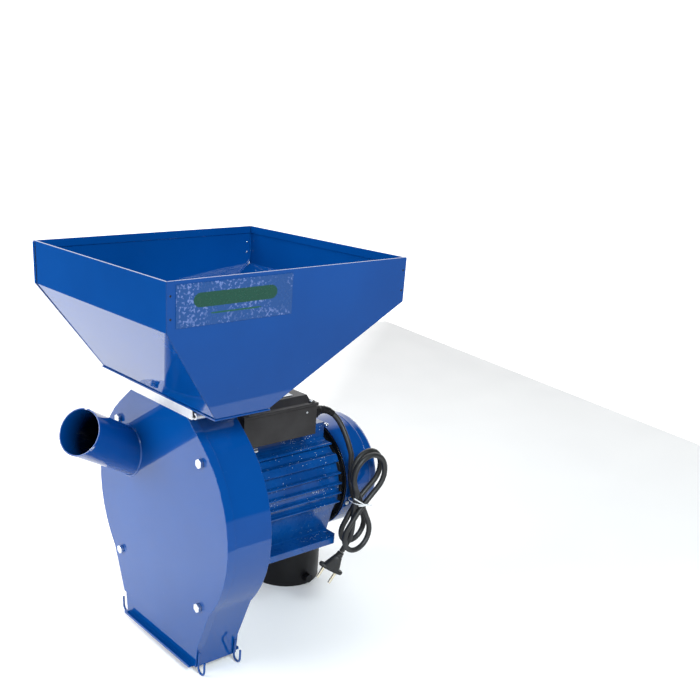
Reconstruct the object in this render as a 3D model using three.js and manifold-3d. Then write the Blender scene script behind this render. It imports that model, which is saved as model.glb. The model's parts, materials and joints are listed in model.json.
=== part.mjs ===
// Domestic electric hammer mill: sheet-steel hopper, feed gate, hammer chamber with a cob pipe,
// bag outlet with four hooks, and an induction motor bolted to the back of the chamber.
// Millimetres, +Z up. Everything is drawn with X = 0 in the mill's middle plane, Y = 0 on the
// front face of the chamber cover and Z = 0 at the lower edge of the outlet. The whole group is
// then moved so that its origin is the middle of the base that it stands on.
import * as THREE from 'three';
import { mergeVertices } from 'three/addons/utils/BufferGeometryUtils.js';
import Module from 'manifold-3d';

const manifoldLibrary = await Module();
manifoldLibrary.setup();

// ---------------------------------------------------------------- driving dimensions
const GAP = 0.3;                 // between pieces that touch
const RUNNING_GAP = 0.5;         // between pieces that turn or slide

// hammer chamber
const AXIS_Z = 193.5;            // height of the rotor and motor axis
const DRUM_R = 156;              // outside of the cover's rim
const SHOULDER_ANGLE = 52;       // where the round side meets the slope to the flat top, degrees
const WAIST_ANGLE = -40.5;       // where the round side meets the neck, degrees
const TOP_HALF = 66;             // half width of the flat top
const TOP_Z = 340.2;             // height of the flat top
const NECK_HALF = 93.8;          // half width at the cover's lower edge
const NECK_Z = 30.4;             // height of the cover's lower edge
const DUCT_HALF = 90.4;          // half width of the outlet's lower edge
const CHAMBER_DEPTH = 67.3;      // cover face to back plate
const COVER_T = 1.5;
const RIM_DEPTH = 12;
const SHELL_T = 2;
const BACK_T = 3;
const COVER_OVERLAP = 8;         // height of the outlet's front wall hidden by the cover
const LIP_HALF = 84;             // half length of the folded bag lips
const LIP_REACH = 9.5;
const LIP_T = 1.5;
const LIP_EDGE = 4;

// bolts through the chamber
const CHAMBER_BOLT_OFFSET = 97.8; // across and up from the axis
const BOLT_R = 3;
const BOLT_HOLE_R = BOLT_R + 0.4;
const BOLT_FLATS = 11;
const BOLT_HEAD = 4.5;
const NUT_HEIGHT = 5;
const BOLT_END = 4;              // thread past the nut

// cob pipe
const PIPE_R = 31;
const PIPE_WALL = 1.6;
const PIPE_REACH = 110;          // from the cover's face along the pipe's axis
const PIPE_FOOT = new THREE.Vector2(-75, 252.3);
const PIPE_TURN = 21.5;          // sideways from straight ahead, degrees
const PIPE_RISE = 29;            // up from level, degrees

// bag hooks
const HOOK_ROD_R = 1.6;
const HOOK_BEND_R = 6.8;
const HOOK_TOP_Z = 24;
const HOOK_TIP_Z = 14;
const HOOK_INSET_Y = 5;

// inlet, feed gate and its guide
const INLET_HALF = 44;
const INLET_Y0 = 24;
const INLET_Y1 = 50;
const COLLAR_WALL = 6;
const GUIDE_T = 1.5;
const GUIDE_X0 = -75;
const GUIDE_X1 = 80;
const GUIDE_Y0 = -2;
const GUIDE_Y1 = 70;
const GATE_T = 1.5;
const GATE_MARGIN = 3;           // gate past the inlet, front and back
const GATE_HANDLE = 9;           // handle beyond the guide's end
const GATE_CURL_R = 4;
const BASE_T = 2;
const BASE_MARGIN = 1;           // base plate past the hopper's lower edge

// hopper
const HOPPER_TOP_HALF = 156.1;
const HOPPER_TOP_Y0 = -85.4;
const HOPPER_TOP_Y1 = 254.3;
const HOPPER_LOW_HALF = 131.7;
const HOPPER_LOW_Y0 = -4.9;
const HOPPER_LOW_Y1 = 72.5;
const HOPPER_LOW_Z = TOP_Z + 16.7; // room for the guide, gate and base plate
const HOPPER_BAND_Z = 470;
const HOPPER_RIM_Z = 523;
const HOPPER_T = 1.5;
const HEM_HEIGHT = 10;
const HOPPER_BOLT_X = 58;
const HOPPER_BOLT_Y = [16.5, 57.5];

// label on the right side of the hopper
const LABEL_Y0 = -74;
const LABEL_Y1 = 78;
const LABEL_Z0 = 474;
const LABEL_Z1 = 519;
const LABEL_T = 0.5;

// rotor
const SHAFT_R = 9.5;
const SHAFT_Y0 = 7;
const SHAFT_Y1 = 304;
const DISC_T = 4;
const DISC_Y0 = 11;
const HUB_R = 20;
const PIN_CIRCLE_R = 68;
const PIN_R = 5;
const DISC_R = PIN_CIRCLE_R + PIN_R + 7;
const PIN_HEAD_R = PIN_R + 2.5;
const PIN_HEAD_T = 2.5;
const HAMMER_REACH = 42;         // pin axis to hammer tip
const HAMMER_TAIL = 10;
const HAMMER_WIDTH = 24;
const HAMMER_T = 4;
const HAMMERS_PER_PIN = 5;
const HAMMER_PITCH = 7.6;
const HAMMER_SLEEVE_R = PIN_R + 3;
const HAMMER_STAGGER = 2;        // every other set sits this much further back
const HAMMER_SIDE_PLAY = 0.8;    // at each end of a set
// between the two discs
const HAMMER_SPACE = (HAMMERS_PER_PIN - 1) * HAMMER_PITCH + HAMMER_T + HAMMER_STAGGER + 2 * HAMMER_SIDE_PLAY;

// sieve
const SIEVE_CLEARANCE = 4;       // hammer tips to the outside of the screen
const SIEVE_R = PIN_CIRCLE_R + HAMMER_REACH + SIEVE_CLEARANCE;
const SIEVE_T = 1.5;
const SIEVE_OPEN_ANGLE = 45;     // half of the open stretch at the top, degrees
const SIEVE_HOLE_R = 2.6;
const SIEVE_HOLE_ROWS = 2;
const SIEVE_HOLES_PER_ROW = 16;

// motor
const STATOR_R = 64;
const FRAME_BORE_R = STATOR_R + 0.5;
const FRAME_R = FRAME_BORE_R + 8;
const FIN_R = 79;
const FIN_T = 2.4;
const FIN_PITCH = 14.2;
const LOWEST_FIN = -17.6;        // upper face, from the axis
const LOW_FIN_COUNT = 4;
const HIGH_FIN = 61;             // the one fin beside the pad
const LUG_TOP = 48;              // thick rib between the high fin and the low ones
const LUG_T = 9.5;
const LEG_TOP = -36.5;           // where the leg leaves the round of the frame
const FRAME_Y1 = 250;
const PAD_HALF = 34;             // flat pad under the terminal box
const FOOT_DROP = 80;            // axis to the underside of the feet
const FOOT_T = 10;
const FOOT_OUTER = 80;
const FOOT_INNER = 45;
const FOOT_CORNER = 9;           // cut off the rear corner of each foot
const KNEE_X = FOOT_INNER - 8;   // inner side of the leg where it meets the belly
const FOOT_BOLT_X = 62.5;
const LEG_X = FOOT_BOLT_X - 9;   // outer side of the leg at the foot, clear of the bolts
const FOOT_BOLT_Y = [136, 238];
const FOOT_HOLE_R = 4.6;         // 0.6 wider than the foot bolt
const SHIELD_R = 78;
const SHIELD_T = 10;
const SHIELD_BORE_R = SHAFT_R + 2.5;
const DRIVE_BEARING_R = 23.5;
const DRIVE_BEARING_T = 14;
const REAR_BEARING_R = 20;
const REAR_BEARING_T = 12;
const REAR_SHIELD_WAIST_R = 70;
const REAR_SHIELD_T = 13;
const BEARING_WALL = 4;
const STATOR_BORE_R = 41;
const STATOR_Y0 = 108;
const STATOR_Y1 = 218;
const ROTOR_CORE_R = STATOR_BORE_R - 0.6;
const FAN_COVER_R = 80;
const FAN_COVER_T = 1.5;
const FAN_COVER_Y0 = 258;
const FAN_COVER_Y1 = 318;
const FAN_COVER_ROUND = 9;
const BEAD_Y = 300;
const VENT_COUNT = 12;
const FAN_R = 68;
const FAN_HUB_R = 15;
const FAN_BLADES = 6;
const FAN_Y0 = 270;
const FAN_Y1 = 296;
const FAN_BLADE_T = 2.5;

// terminal box
const BOX_HALF = 66;
const BOX_Y0 = 86;
const BOX_Y1 = 206;
const BOX_Z0 = 280;
const BOX_Z1 = 320;
const BOX_WALL = 2.5;
const LID_LIP = 4;
const LID_RISE = 12;
const LID_SLOPE = 16;            // how far the raised middle steps in from the lip
const LID_OVERHANG = 1.5;
const PLATE_T = 0.6;
const CAPACITOR_R = 16;
const CAPACITOR_LENGTH = 80;
const GLAND_X = 52;
const GLAND_Z = 307;
const GLAND_LENGTH = 16;
const GLAND_FLATS = 20;

// bolt through the support foot
const FOOT_BOLT_R = 4;
const FOOT_BOLT_FLATS = 13;
const FOOT_BOLT_HEAD = 5.3;
const FOOT_NUT_T = 6;

// support foot
const CAN_X = -72;
const CAN_Y = 278;
const CAN_R = 55;
const CAN_WALL = 4;
const CAN_ROUND = 4;
const CAN_SCREW_Z = 14;          // above the floor
const CAN_SCREW_FLATS = 13;
const CAN_SCREW_HEAD = 9;

// mains lead: a stretch hanging from the gland, then a tied hank with the plug below it
const CORD_R = 3.75;
const CORD_ROUTE = [
  [52, 222.7, 307], [52.6, 229, 306.6], [54.5, 236.5, 304.4], [58.5, 243, 299.3], [64, 247.5, 292],
  [70.5, 250, 282.6], [77, 251.5, 272], [82.5, 252.6, 261.4], [86, 253.6, 251.6], [88, 254.2, 247.6],
];
const HANK_X0 = 81.5;
const HANK_X1 = 112;
const HANK_TOP = new THREE.Vector3(278, 222, 33);     // y, z and radius of the upper bend
const HANK_BOTTOM = new THREE.Vector3(264, 134, 30);  // y, z and radius of the lower bend
const PLUG_TOP = new THREE.Vector3(90, 246.5, 102);
const PLUG_DOWN = new THREE.Vector3(-0.27, -0.36, -0.89);
const PLUG_ACROSS = new THREE.Vector3(0.53, 0.7, -0.48);
const PLUG_LENGTH = 31;
const PLUG_THICK = 13;
const PLUG_FLANGE_HALF = 18.5;
const PLUG_FLANGE_T = 5;
const PLUG_PIN_PITCH = 19;
const PLUG_PIN_R = 2.4;
const PLUG_PIN_LENGTH = 19;

// how finely round shapes are cut
const ARC_STEPS = 12;
const ROUND_STEPS = 32;
const SMALL_ROUND_STEPS = 12;
const BELLY_STEPS = 4;
const BOLT_STEPS = 10;

// ---------------------------------------------------------------- heights that follow
const FLOOR_Z = -(HOOK_BEND_R + HOOK_ROD_R) + 0.5;
const SHELL_INSET = COVER_T + GAP;
const SHELL_TOP_Z = TOP_Z - SHELL_INSET;
const GUIDE_Z0 = TOP_Z + GAP;
const GATE_Z0 = GUIDE_Z0 + GUIDE_T + GAP;
const GATE_Z1 = GATE_Z0 + GATE_T;
const BASE_Z1 = HOPPER_LOW_Z - GAP;
const BASE_Z0 = BASE_Z1 - BASE_T;
const BACK_Y0 = CHAMBER_DEPTH - BACK_T;
const FOOT_Z = AXIS_Z - FOOT_DROP;
const BOX_PAD_Z = BOX_Z0 - GAP;
const LID_Z0 = BOX_Z1 + GAP;
const SHIELD_Y0 = CHAMBER_DEPTH + GAP;
const FRAME_Y0 = SHIELD_Y0 + SHIELD_T + GAP;
const REAR_SHIELD_Y0 = FRAME_Y1 + GAP;
const REAR_SHIELD_Y1 = REAR_SHIELD_Y0 + REAR_SHIELD_T;
const CAN_TOP_Z = FOOT_Z - GAP;

// ---------------------------------------------------------------- materials
function paint(color, roughness, metalness) {
  return new THREE.MeshStandardMaterial({ color, roughness, metalness });
}

const BLUE_ENAMEL = ['#0b4f9e', 0.25, 0.2];
const MOTOR_BLUE = ['#0c3f86', 0.4, 0.2];
const ZINC = ['#c9ccd0', 0.35, 0.9];
const BARE_STEEL = ['#8f9296', 0.4, 0.9];
const BLACK_PLASTIC = ['#1c1d1f', 0.5, 0];
const BOX_PLASTIC = ['#3b3c3d', 0.55, 0];
const BLACK_RUBBER = ['#222325', 0.6, 0];
const PLATE_SILVER = ['#d9dbdd', 0.4, 0.6];
const LABEL_FILM = ['#6f8fc8', 0.35, 0];
const COPPER = ['#a8643a', 0.45, 0.8];
const PIN_BRASS = ['#d9c49a', 0.3, 0.9];

const mill = new THREE.Group();

function addPart(name, geometry, finish, parent = mill) {
  const mesh = new THREE.Mesh(geometry, paint(...finish));
  mesh.name = name;
  parent.add(mesh);
  return mesh;
}

// ---------------------------------------------------------------- shape helpers
function radians(degrees) {
  return degrees * Math.PI / 180;
}

function vectors(pairs) {
  return pairs.map(([x, y]) => new THREE.Vector2(x, y));
}

function extruded(outline, depth, holes = []) {
  const shape = outline instanceof THREE.Shape ? outline : new THREE.Shape(outline);
  holes.forEach((hole) => shape.holes.push(new THREE.Path(hole)));
  return new THREE.ExtrudeGeometry(shape, { depth, bevelEnabled: false, curveSegments: ARC_STEPS });
}

// outline in (x, z), solid between two values of y
function extrudedY(outline, y0, y1, holes = []) {
  return extruded(outline, y1 - y0, holes).rotateX(Math.PI / 2).translate(0, y1, 0);
}

// outline in (y, z), solid between two values of x
function extrudedX(outline, x0, x1, holes = []) {
  const turn = new THREE.Matrix4().makeBasis(
    new THREE.Vector3(0, 1, 0), new THREE.Vector3(0, 0, 1), new THREE.Vector3(1, 0, 0));
  return extruded(outline, x1 - x0, holes).applyMatrix4(turn).translate(x0, 0, 0);
}

function box(x0, x1, y0, y1, z0, z1) {
  return new THREE.BoxGeometry(x1 - x0, y1 - y0, z1 - z0)
    .translate((x0 + x1) / 2, (y0 + y1) / 2, (z0 + z1) / 2);
}

function circle(radius, steps, x = 0, y = 0) {
  const points = [];
  for (let i = 0; i < steps; i += 1) {
    const angle = 2 * Math.PI * i / steps;
    points.push(new THREE.Vector2(x + radius * Math.cos(angle), y + radius * Math.sin(angle)));
  }
  return points;
}

// solid of revolution about Y from a closed (radius, y) profile
function turned(profile, steps = ROUND_STEPS) {
  const points = vectors(profile);
  if (THREE.ShapeUtils.isClockWise(points)) points.reverse();
  points.push(points[0].clone());
  return new THREE.LatheGeometry(points, steps);
}

// ring or tube about the rotor axis between two values of y
function axisRing(outer, inner, y0, y1, steps = ROUND_STEPS) {
  return turned([[inner, y0], [outer, y0], [outer, y1], [inner, y1]], steps).translate(0, 0, AXIS_Z);
}

// round bar along Y
function barY(radius, y0, y1, x, z, steps = BOLT_STEPS) {
  return new THREE.CylinderGeometry(radius, radius, y1 - y0, steps).translate(x, (y0 + y1) / 2, z);
}

// round bar along Z
function barZ(radius, z0, z1, x, y, steps = BOLT_STEPS) {
  return new THREE.CylinderGeometry(radius, radius, z1 - z0, steps)
    .rotateX(Math.PI / 2).translate(x, y, (z0 + z1) / 2);
}

// six-sided prism along Y, sized across its flats
function hexY(flats, y0, y1, x, z) {
  return barY(flats / Math.sqrt(3), y0, y1, x, z, 6);
}

function hexZ(flats, z0, z1, x, y) {
  return barZ(flats / Math.sqrt(3), z0, z1, x, y, 6);
}

function swept(curve, radius, sides, steps) {
  return new THREE.ExtrudeGeometry(new THREE.Shape(circle(radius, sides)),
    { extrudePath: curve, steps, bevelEnabled: false });
}

// point list moved to its left by a distance, with mitred corners
function offsetLine(points, distance) {
  const lefts = points.slice(1).map((point, i) => {
    const along = point.clone().sub(points[i]).normalize();
    return new THREE.Vector2(-along.y, along.x);
  });
  return points.map((point, i) => {
    const before = lefts[Math.max(i - 1, 0)];
    const after = lefts[Math.min(i, lefts.length - 1)];
    const mitre = before.clone().add(after).divideScalar(1 + before.dot(after));
    return point.clone().addScaledVector(mitre, distance);
  });
}

// bent sheet seen end-on: the area between two offsets of one line
function strip(points, inner, outer) {
  return [...offsetLine(points, inner), ...offsetLine(points, outer).reverse()];
}

// solid between two matching polygons in space; outline is their common shape laid flat
function between(first, second, outline) {
  if (THREE.ShapeUtils.isClockWise(outline)) [first, second, outline].forEach((points) => points.reverse());
  const count = first.length;
  const faces = [];
  THREE.ShapeUtils.triangulateShape(outline, []).forEach(([a, b, c]) => {
    faces.push(a, b, c, count + a, count + c, count + b);
  });
  for (let i = 0; i < count; i += 1) {
    const j = (i + 1) % count;
    faces.push(i, count + i, j, j, count + i, count + j);
  }
  const geometry = new THREE.BufferGeometry();
  geometry.setFromPoints([...first, ...second]);
  geometry.setIndex(faces);
  if (signedVolume(geometry) < 0) geometry.setIndex(faces.reverse());
  geometry.computeVertexNormals();
  return geometry;
}

function signedVolume(geometry) {
  const position = geometry.attributes.position;
  const corners = [new THREE.Vector3(), new THREE.Vector3(), new THREE.Vector3()];
  let total = 0;
  for (let i = 0; i < geometry.index.count; i += 3) {
    corners.forEach((corner, k) => corner.fromBufferAttribute(position, geometry.index.getX(i + k)));
    total += corners[0].dot(corners[1].cross(corners[2]));
  }
  return total;
}

// ---------------------------------------------------------------- joining and cutting
function toSolid(geometry) {
  const bare = geometry.clone();
  bare.deleteAttribute('normal');
  bare.deleteAttribute('uv');
  const merged = mergeVertices(bare, 1e-4);
  const index = merged.index.array;
  const kept = [];
  for (let i = 0; i < index.length; i += 3) {
    const [a, b, c] = [index[i], index[i + 1], index[i + 2]];
    if (a !== b && b !== c && c !== a) kept.push(a, b, c);
  }
  const mesh = new manifoldLibrary.Mesh({
    numProp: 3,
    vertProperties: new Float32Array(merged.attributes.position.array),
    triVerts: new Uint32Array(kept),
  });
  return new manifoldLibrary.Manifold(mesh);
}

function toGeometry(solid) {
  const mesh = solid.getMesh();
  const geometry = new THREE.BufferGeometry();
  geometry.setAttribute('position', new THREE.Float32BufferAttribute(mesh.vertProperties, 3));
  geometry.setIndex(Array.from(mesh.triVerts));
  geometry.computeVertexNormals();
  return geometry;
}

function joined(...pieces) {
  return toGeometry(pieces.map(toSolid).reduce((whole, piece) => whole.add(piece)));
}

function cut(body, ...tools) {
  return toGeometry(tools.map(toSolid).reduce((left, tool) => left.subtract(tool), toSolid(body)));
}

// ---------------------------------------------------------------- chamber
// one round side of the chamber, from the waist up to the shoulder
function drumSide() {
  const points = [];
  for (let i = 0; i <= ARC_STEPS; i += 1) {
    const angle = radians(WAIST_ANGLE + (SHOULDER_ANGLE - WAIST_ANGLE) * i / ARC_STEPS);
    points.push(new THREE.Vector2(DRUM_R * Math.cos(angle), AXIS_Z + DRUM_R * Math.sin(angle)));
  }
  return points;
}

// outline of the cover's face, from the lower right corner round to the lower left
function coverLine() {
  const right = [new THREE.Vector2(NECK_HALF, NECK_Z), ...drumSide(), new THREE.Vector2(TOP_HALF, TOP_Z)];
  const left = right.map((point) => new THREE.Vector2(-point.x, point.y)).reverse();
  return [...right, ...left];
}

// the same outline carried on down to the outlet's lower edge
function shellLine() {
  const foot = new THREE.Vector2(DUCT_HALF, 0);
  return [foot, ...coverLine(), new THREE.Vector2(-foot.x, foot.y)];
}

const CHAMBER_BOLTS = [[-1, 1], [1, 1], [-1, -1], [1, -1]].map(
  ([side, height]) => [side * CHAMBER_BOLT_OFFSET, AXIS_Z + height * CHAMBER_BOLT_OFFSET]);

// folded lip that the bag's mouth hangs on, running outward from a wall at y
function bagLip(y, direction) {
  const profile = [[0, 0], [LIP_REACH, 0], [LIP_REACH, LIP_EDGE], [LIP_REACH - LIP_T, LIP_EDGE],
    [LIP_REACH - LIP_T, LIP_T], [0, LIP_T]].map(([out, up]) => [y + direction * out, up]);
  return extrudedX(vectors(profile), -LIP_HALF, LIP_HALF);
}

function chamberShell() {
  const line = shellLine();
  const wrap = extrudedY(strip(line, SHELL_INSET, SHELL_INSET + SHELL_T), SHELL_INSET, CHAMBER_DEPTH);
  const inner = offsetLine(line, SHELL_INSET + SHELL_T / 2);
  const neckRight = inner[1];
  const wallTop = NECK_Z + COVER_OVERLAP;
  const frontWall = extrudedY([inner[0], new THREE.Vector2(neckRight.x, wallTop),
    new THREE.Vector2(-neckRight.x, wallTop), inner[inner.length - 1]], SHELL_INSET, SHELL_INSET + SHELL_T);
  const collar = box(-INLET_HALF - COLLAR_WALL, INLET_HALF + COLLAR_WALL, RIM_DEPTH + 1.5,
    INLET_Y1 + COLLAR_WALL, SHELL_TOP_Z - SHELL_T / 2, GUIDE_Z0 - GAP);
  const lip = bagLip(SHELL_INSET + LIP_T, -1);
  const whole = joined(wrap, frontWall, collar, lip);
  const inlet = box(-INLET_HALF, INLET_HALF, INLET_Y0, INLET_Y1, SHELL_TOP_Z - 10, TOP_Z + 10);
  const boltHoles = hopperBoltPlaces().map(
    ([x, y]) => barZ(BOLT_HOLE_R, SHELL_TOP_Z - 10, TOP_Z + 10, x, y));
  return cut(whole, inlet, ...boltHoles);
}

function backPlate() {
  const line = offsetLine(shellLine(), SHELL_INSET + SHELL_T + GAP);
  const plate = extrudedY(line, BACK_Y0, CHAMBER_DEPTH);
  const lip = bagLip(CHAMBER_DEPTH - LIP_T, 1);
  const shaftHole = barY(SHIELD_BORE_R, BACK_Y0 - 1, CHAMBER_DEPTH + 1, 0, AXIS_Z, SMALL_ROUND_STEPS);
  const boltHoles = CHAMBER_BOLTS.map(([x, z]) => barY(BOLT_HOLE_R, BACK_Y0 - 1, CHAMBER_DEPTH + 1, x, z));
  return cut(joined(plate, lip), shaftHole, ...boltHoles);
}

// direction along the cob pipe, away from the chamber
function pipeDirection() {
  const turn = radians(PIPE_TURN);
  const rise = radians(PIPE_RISE);
  const level = Math.cos(rise);
  return new THREE.Vector3(Math.sin(turn) * level, -Math.cos(turn) * level, Math.sin(rise));
}

// moves something drawn about Y, with its foot at the origin, onto the pipe's axis
function ontoPipe(geometry) {
  const turn = new THREE.Quaternion().setFromUnitVectors(new THREE.Vector3(0, 1, 0), pipeDirection());
  return geometry.applyQuaternion(turn).translate(PIPE_FOOT.x, 0, PIPE_FOOT.y);
}

function frontCover() {
  const line = coverLine();
  const face = extrudedY(line, 0, COVER_T);
  const rim = extrudedY(strip(line, 0, COVER_T), 0, RIM_DEPTH);
  const bore = ontoPipe(new THREE.CylinderGeometry(PIPE_R - PIPE_WALL, PIPE_R - PIPE_WALL, 80, ROUND_STEPS));
  const boltHoles = CHAMBER_BOLTS.map(([x, z]) => barY(BOLT_HOLE_R, -1, COVER_T + 1, x, z));
  return cut(joined(face, rim), bore, ...boltHoles);
}

function cobPipe() {
  const inner = PIPE_R - PIPE_WALL;
  const buried = PIPE_R + 10;
  const wall = [[inner, -buried], [PIPE_R, -buried], [PIPE_R, PIPE_REACH], [inner, PIPE_REACH]];
  const tube = ontoPipe(turned(wall));
  const behindFace = box(-DRUM_R, DRUM_R, -GAP, 2 * buried, 0, 2 * AXIS_Z);
  return cut(tube, behindFace);
}

// long bolt through cover and back plate, with its nut run on behind
function chamberBolt(x, z) {
  const nutY = CHAMBER_DEPTH + GAP;
  const head = hexY(BOLT_FLATS, -GAP - BOLT_HEAD, -GAP, x, z);
  const shank = barY(BOLT_R, -GAP - 1, nutY + NUT_HEIGHT + BOLT_END, x, z);
  const nut = hexY(BOLT_FLATS, nutY, nutY + NUT_HEIGHT, x, z);
  return joined(head, shank, nut);
}

function bagHook(side, y) {
  const wallX = DUCT_HALF - SHELL_INSET + GAP + HOOK_ROD_R;
  const flare = (NECK_HALF - DUCT_HALF) / NECK_Z;
  const points = [new THREE.Vector3(wallX + flare * HOOK_TOP_Z + GAP, 0, HOOK_TOP_Z),
    new THREE.Vector3(wallX + flare * HOOK_TOP_Z / 2 + GAP, 0, HOOK_TOP_Z / 2)];
  const bendX = wallX + GAP + HOOK_BEND_R;
  const bendZ = FLOOR_Z + HOOK_ROD_R + HOOK_BEND_R;
  for (let i = 0; i <= 8; i += 1) {
    const angle = Math.PI * (1 + i / 8);
    points.push(new THREE.Vector3(
      bendX + HOOK_BEND_R * Math.cos(angle), 0, bendZ + HOOK_BEND_R * Math.sin(angle)));
  }
  points.push(new THREE.Vector3(bendX + HOOK_BEND_R + 0.5, 0, HOOK_TIP_Z));
  const placed = points.map((point) => new THREE.Vector3(side * point.x, y, point.z));
  return swept(new THREE.CatmullRomCurve3(placed), HOOK_ROD_R, 8, 16);
}

function addChamber() {
  addPart('chamber_shell', chamberShell(), BLUE_ENAMEL);
  addPart('chamber_back_plate', backPlate(), BLUE_ENAMEL);
  addPart('front_cover', frontCover(), BLUE_ENAMEL);
  addPart('cob_pipe', cobPipe(), BLUE_ENAMEL);
  CHAMBER_BOLTS.forEach(([x, z], i) => addPart(`chamber_bolt_${i + 1}`, chamberBolt(x, z), ZINC));
  const hookPlaces = [[-1, HOOK_INSET_Y], [1, HOOK_INSET_Y],
    [-1, CHAMBER_DEPTH - HOOK_INSET_Y], [1, CHAMBER_DEPTH - HOOK_INSET_Y]];
  hookPlaces.forEach(([side, y], i) => addPart(`bag_hook_${i + 1}`, bagHook(side, y), BLUE_ENAMEL));
}

// ---------------------------------------------------------------- feed gate
function gateGuide() {
  const floor = box(GUIDE_X0, GUIDE_X1, GUIDE_Y0, GUIDE_Y1, GUIDE_Z0, GUIDE_Z0 + GUIDE_T);
  const wallTop = BASE_Z0 - GAP;
  const front = box(GUIDE_X0, GUIDE_X1, GUIDE_Y0, GUIDE_Y0 + GUIDE_T, GUIDE_Z0, wallTop);
  const back = box(GUIDE_X0, GUIDE_X1, GUIDE_Y1 - GUIDE_T, GUIDE_Y1, GUIDE_Z0, wallTop);
  const inlet = box(-INLET_HALF, INLET_HALF, INLET_Y0, INLET_Y1, GUIDE_Z0 - 1, GUIDE_Z0 + GUIDE_T + 1);
  const boltHoles = hopperBoltPlaces().map(
    ([x, y]) => barZ(BOLT_HOLE_R, GUIDE_Z0 - 1, GUIDE_Z0 + GUIDE_T + 1, x, y));
  return cut(joined(floor, front, back), inlet, ...boltHoles);
}

// flat slide with a curled handle across its right-hand end
function feedGate() {
  const slide = box(GUIDE_X0 + GUIDE_T, GUIDE_X1 + 2, INLET_Y0 - GATE_MARGIN, INLET_Y1 + GATE_MARGIN,
    GATE_Z0, GATE_Z1);
  const handleX = GUIDE_X1 + GAP;
  const centre = new THREE.Vector2(handleX + GATE_HANDLE - GATE_CURL_R, GATE_Z0 + GATE_CURL_R);
  const line = [new THREE.Vector2(handleX, GATE_Z0)];
  for (let i = 0; i <= 8; i += 1) {
    const angle = radians(-90 + 200 * i / 8);
    line.push(new THREE.Vector2(
      centre.x + GATE_CURL_R * Math.cos(angle), centre.y + GATE_CURL_R * Math.sin(angle)));
  }
  const handle = extrudedY(strip(line, 0, GATE_T), GUIDE_Y0, GUIDE_Y1);
  return joined(slide, handle);
}

function addGate() {
  addPart('gate_guide', gateGuide(), ZINC);
  addPart('feed_gate', feedGate(), ZINC);
}

// ---------------------------------------------------------------- hopper
function hopperBoltPlaces() {
  return HOPPER_BOLT_Y.flatMap((y) => [[-HOPPER_BOLT_X, y], [HOPPER_BOLT_X, y]]);
}

// plate under the hopper, with a neck down to the gate round the outlet
function hopperBase() {
  const plate = box(-HOPPER_LOW_HALF - BASE_MARGIN, HOPPER_LOW_HALF + BASE_MARGIN,
    HOPPER_LOW_Y0 - BASE_MARGIN, HOPPER_LOW_Y1 + BASE_MARGIN, BASE_Z0, BASE_Z1);
  const neck = box(-INLET_HALF - BASE_T, INLET_HALF + BASE_T, INLET_Y0 - BASE_T, INLET_Y1 + BASE_T,
    GATE_Z1 + GAP, BASE_Z1);
  const outlet = box(-INLET_HALF, INLET_HALF, INLET_Y0, INLET_Y1, GATE_Z0, BASE_Z1 + 1);
  const boltHoles = hopperBoltPlaces().map(([x, y]) => barZ(BOLT_HOLE_R, BASE_Z0 - 1, BASE_Z1 + 1, x, y));
  return cut(joined(plate, neck), outlet, ...boltHoles);
}

// corner of the hopper's outside at a height, moved inward by inset; corners run
// front left, front right, rear right, rear left
function hopperCorner(corner, z, inset) {
  const spread = Math.min((z - HOPPER_LOW_Z) / (HOPPER_BAND_Z - HOPPER_LOW_Z), 1);
  const half = THREE.MathUtils.lerp(HOPPER_LOW_HALF, HOPPER_TOP_HALF, spread) - inset;
  const front = THREE.MathUtils.lerp(HOPPER_LOW_Y0, HOPPER_TOP_Y0, spread) + inset;
  const rear = THREE.MathUtils.lerp(HOPPER_LOW_Y1, HOPPER_TOP_Y1, spread) - inset;
  const right = corner === 1 || corner === 2;
  return new THREE.Vector3(right ? half : -half, corner < 2 ? front : rear, z);
}

// one side of the hopper: a bent sheet with a folded hem along its rim and mitred ends
function hopperPanel(side) {
  const profile = [[HOPPER_RIM_Z, 0], [HOPPER_BAND_Z, 0], [HOPPER_LOW_Z, 0], [HOPPER_LOW_Z, HOPPER_T],
    [HOPPER_BAND_Z, HOPPER_T], [HOPPER_RIM_Z - HEM_HEIGHT, HOPPER_T],
    [HOPPER_RIM_Z - HEM_HEIGHT, 2 * HOPPER_T], [HOPPER_RIM_Z, 2 * HOPPER_T]];
  const starts = [];
  const ends = [];
  profile.forEach(([z, inset]) => {
    const start = hopperCorner(side, z, inset);
    const end = hopperCorner((side + 1) % 4, z, inset);
    const along = end.clone().sub(start).setLength(0.75 * GAP);
    starts.push(start.add(along));
    ends.push(end.sub(along));
  });
  const flat = profile.map(([z, inset]) => new THREE.Vector2(hopperCorner(1, z, inset).x, z));
  return between(starts, ends, flat);
}

function hopperBolt(x, y) {
  const head = hexZ(BOLT_FLATS, BASE_Z1 + GAP, BASE_Z1 + GAP + BOLT_HEAD, x, y);
  const nutTop = SHELL_TOP_Z - SHELL_T - GAP;
  const shank = barZ(BOLT_R, nutTop - NUT_HEIGHT - 1, BASE_Z1 + GAP + 1, x, y);
  const nut = hexZ(BOLT_FLATS, nutTop - NUT_HEIGHT, nutTop, x, y);
  return joined(head, shank, nut);
}

function addHopper() {
  addPart('hopper_base', hopperBase(), BLUE_ENAMEL);
  ['front', 'right', 'rear', 'left'].forEach((name, side) => {
    addPart(`hopper_${name}_panel`, hopperPanel(side), BLUE_ENAMEL);
  });
  hopperBoltPlaces().forEach(([x, y], i) => addPart(`hopper_bolt_${i + 1}`, hopperBolt(x, y), ZINC));
  const labelX = HOPPER_TOP_HALF + GAP;
  addPart('hopper_label', box(labelX, labelX + LABEL_T, LABEL_Y0, LABEL_Y1, LABEL_Z0, LABEL_Z1), LABEL_FILM);
}

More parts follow.
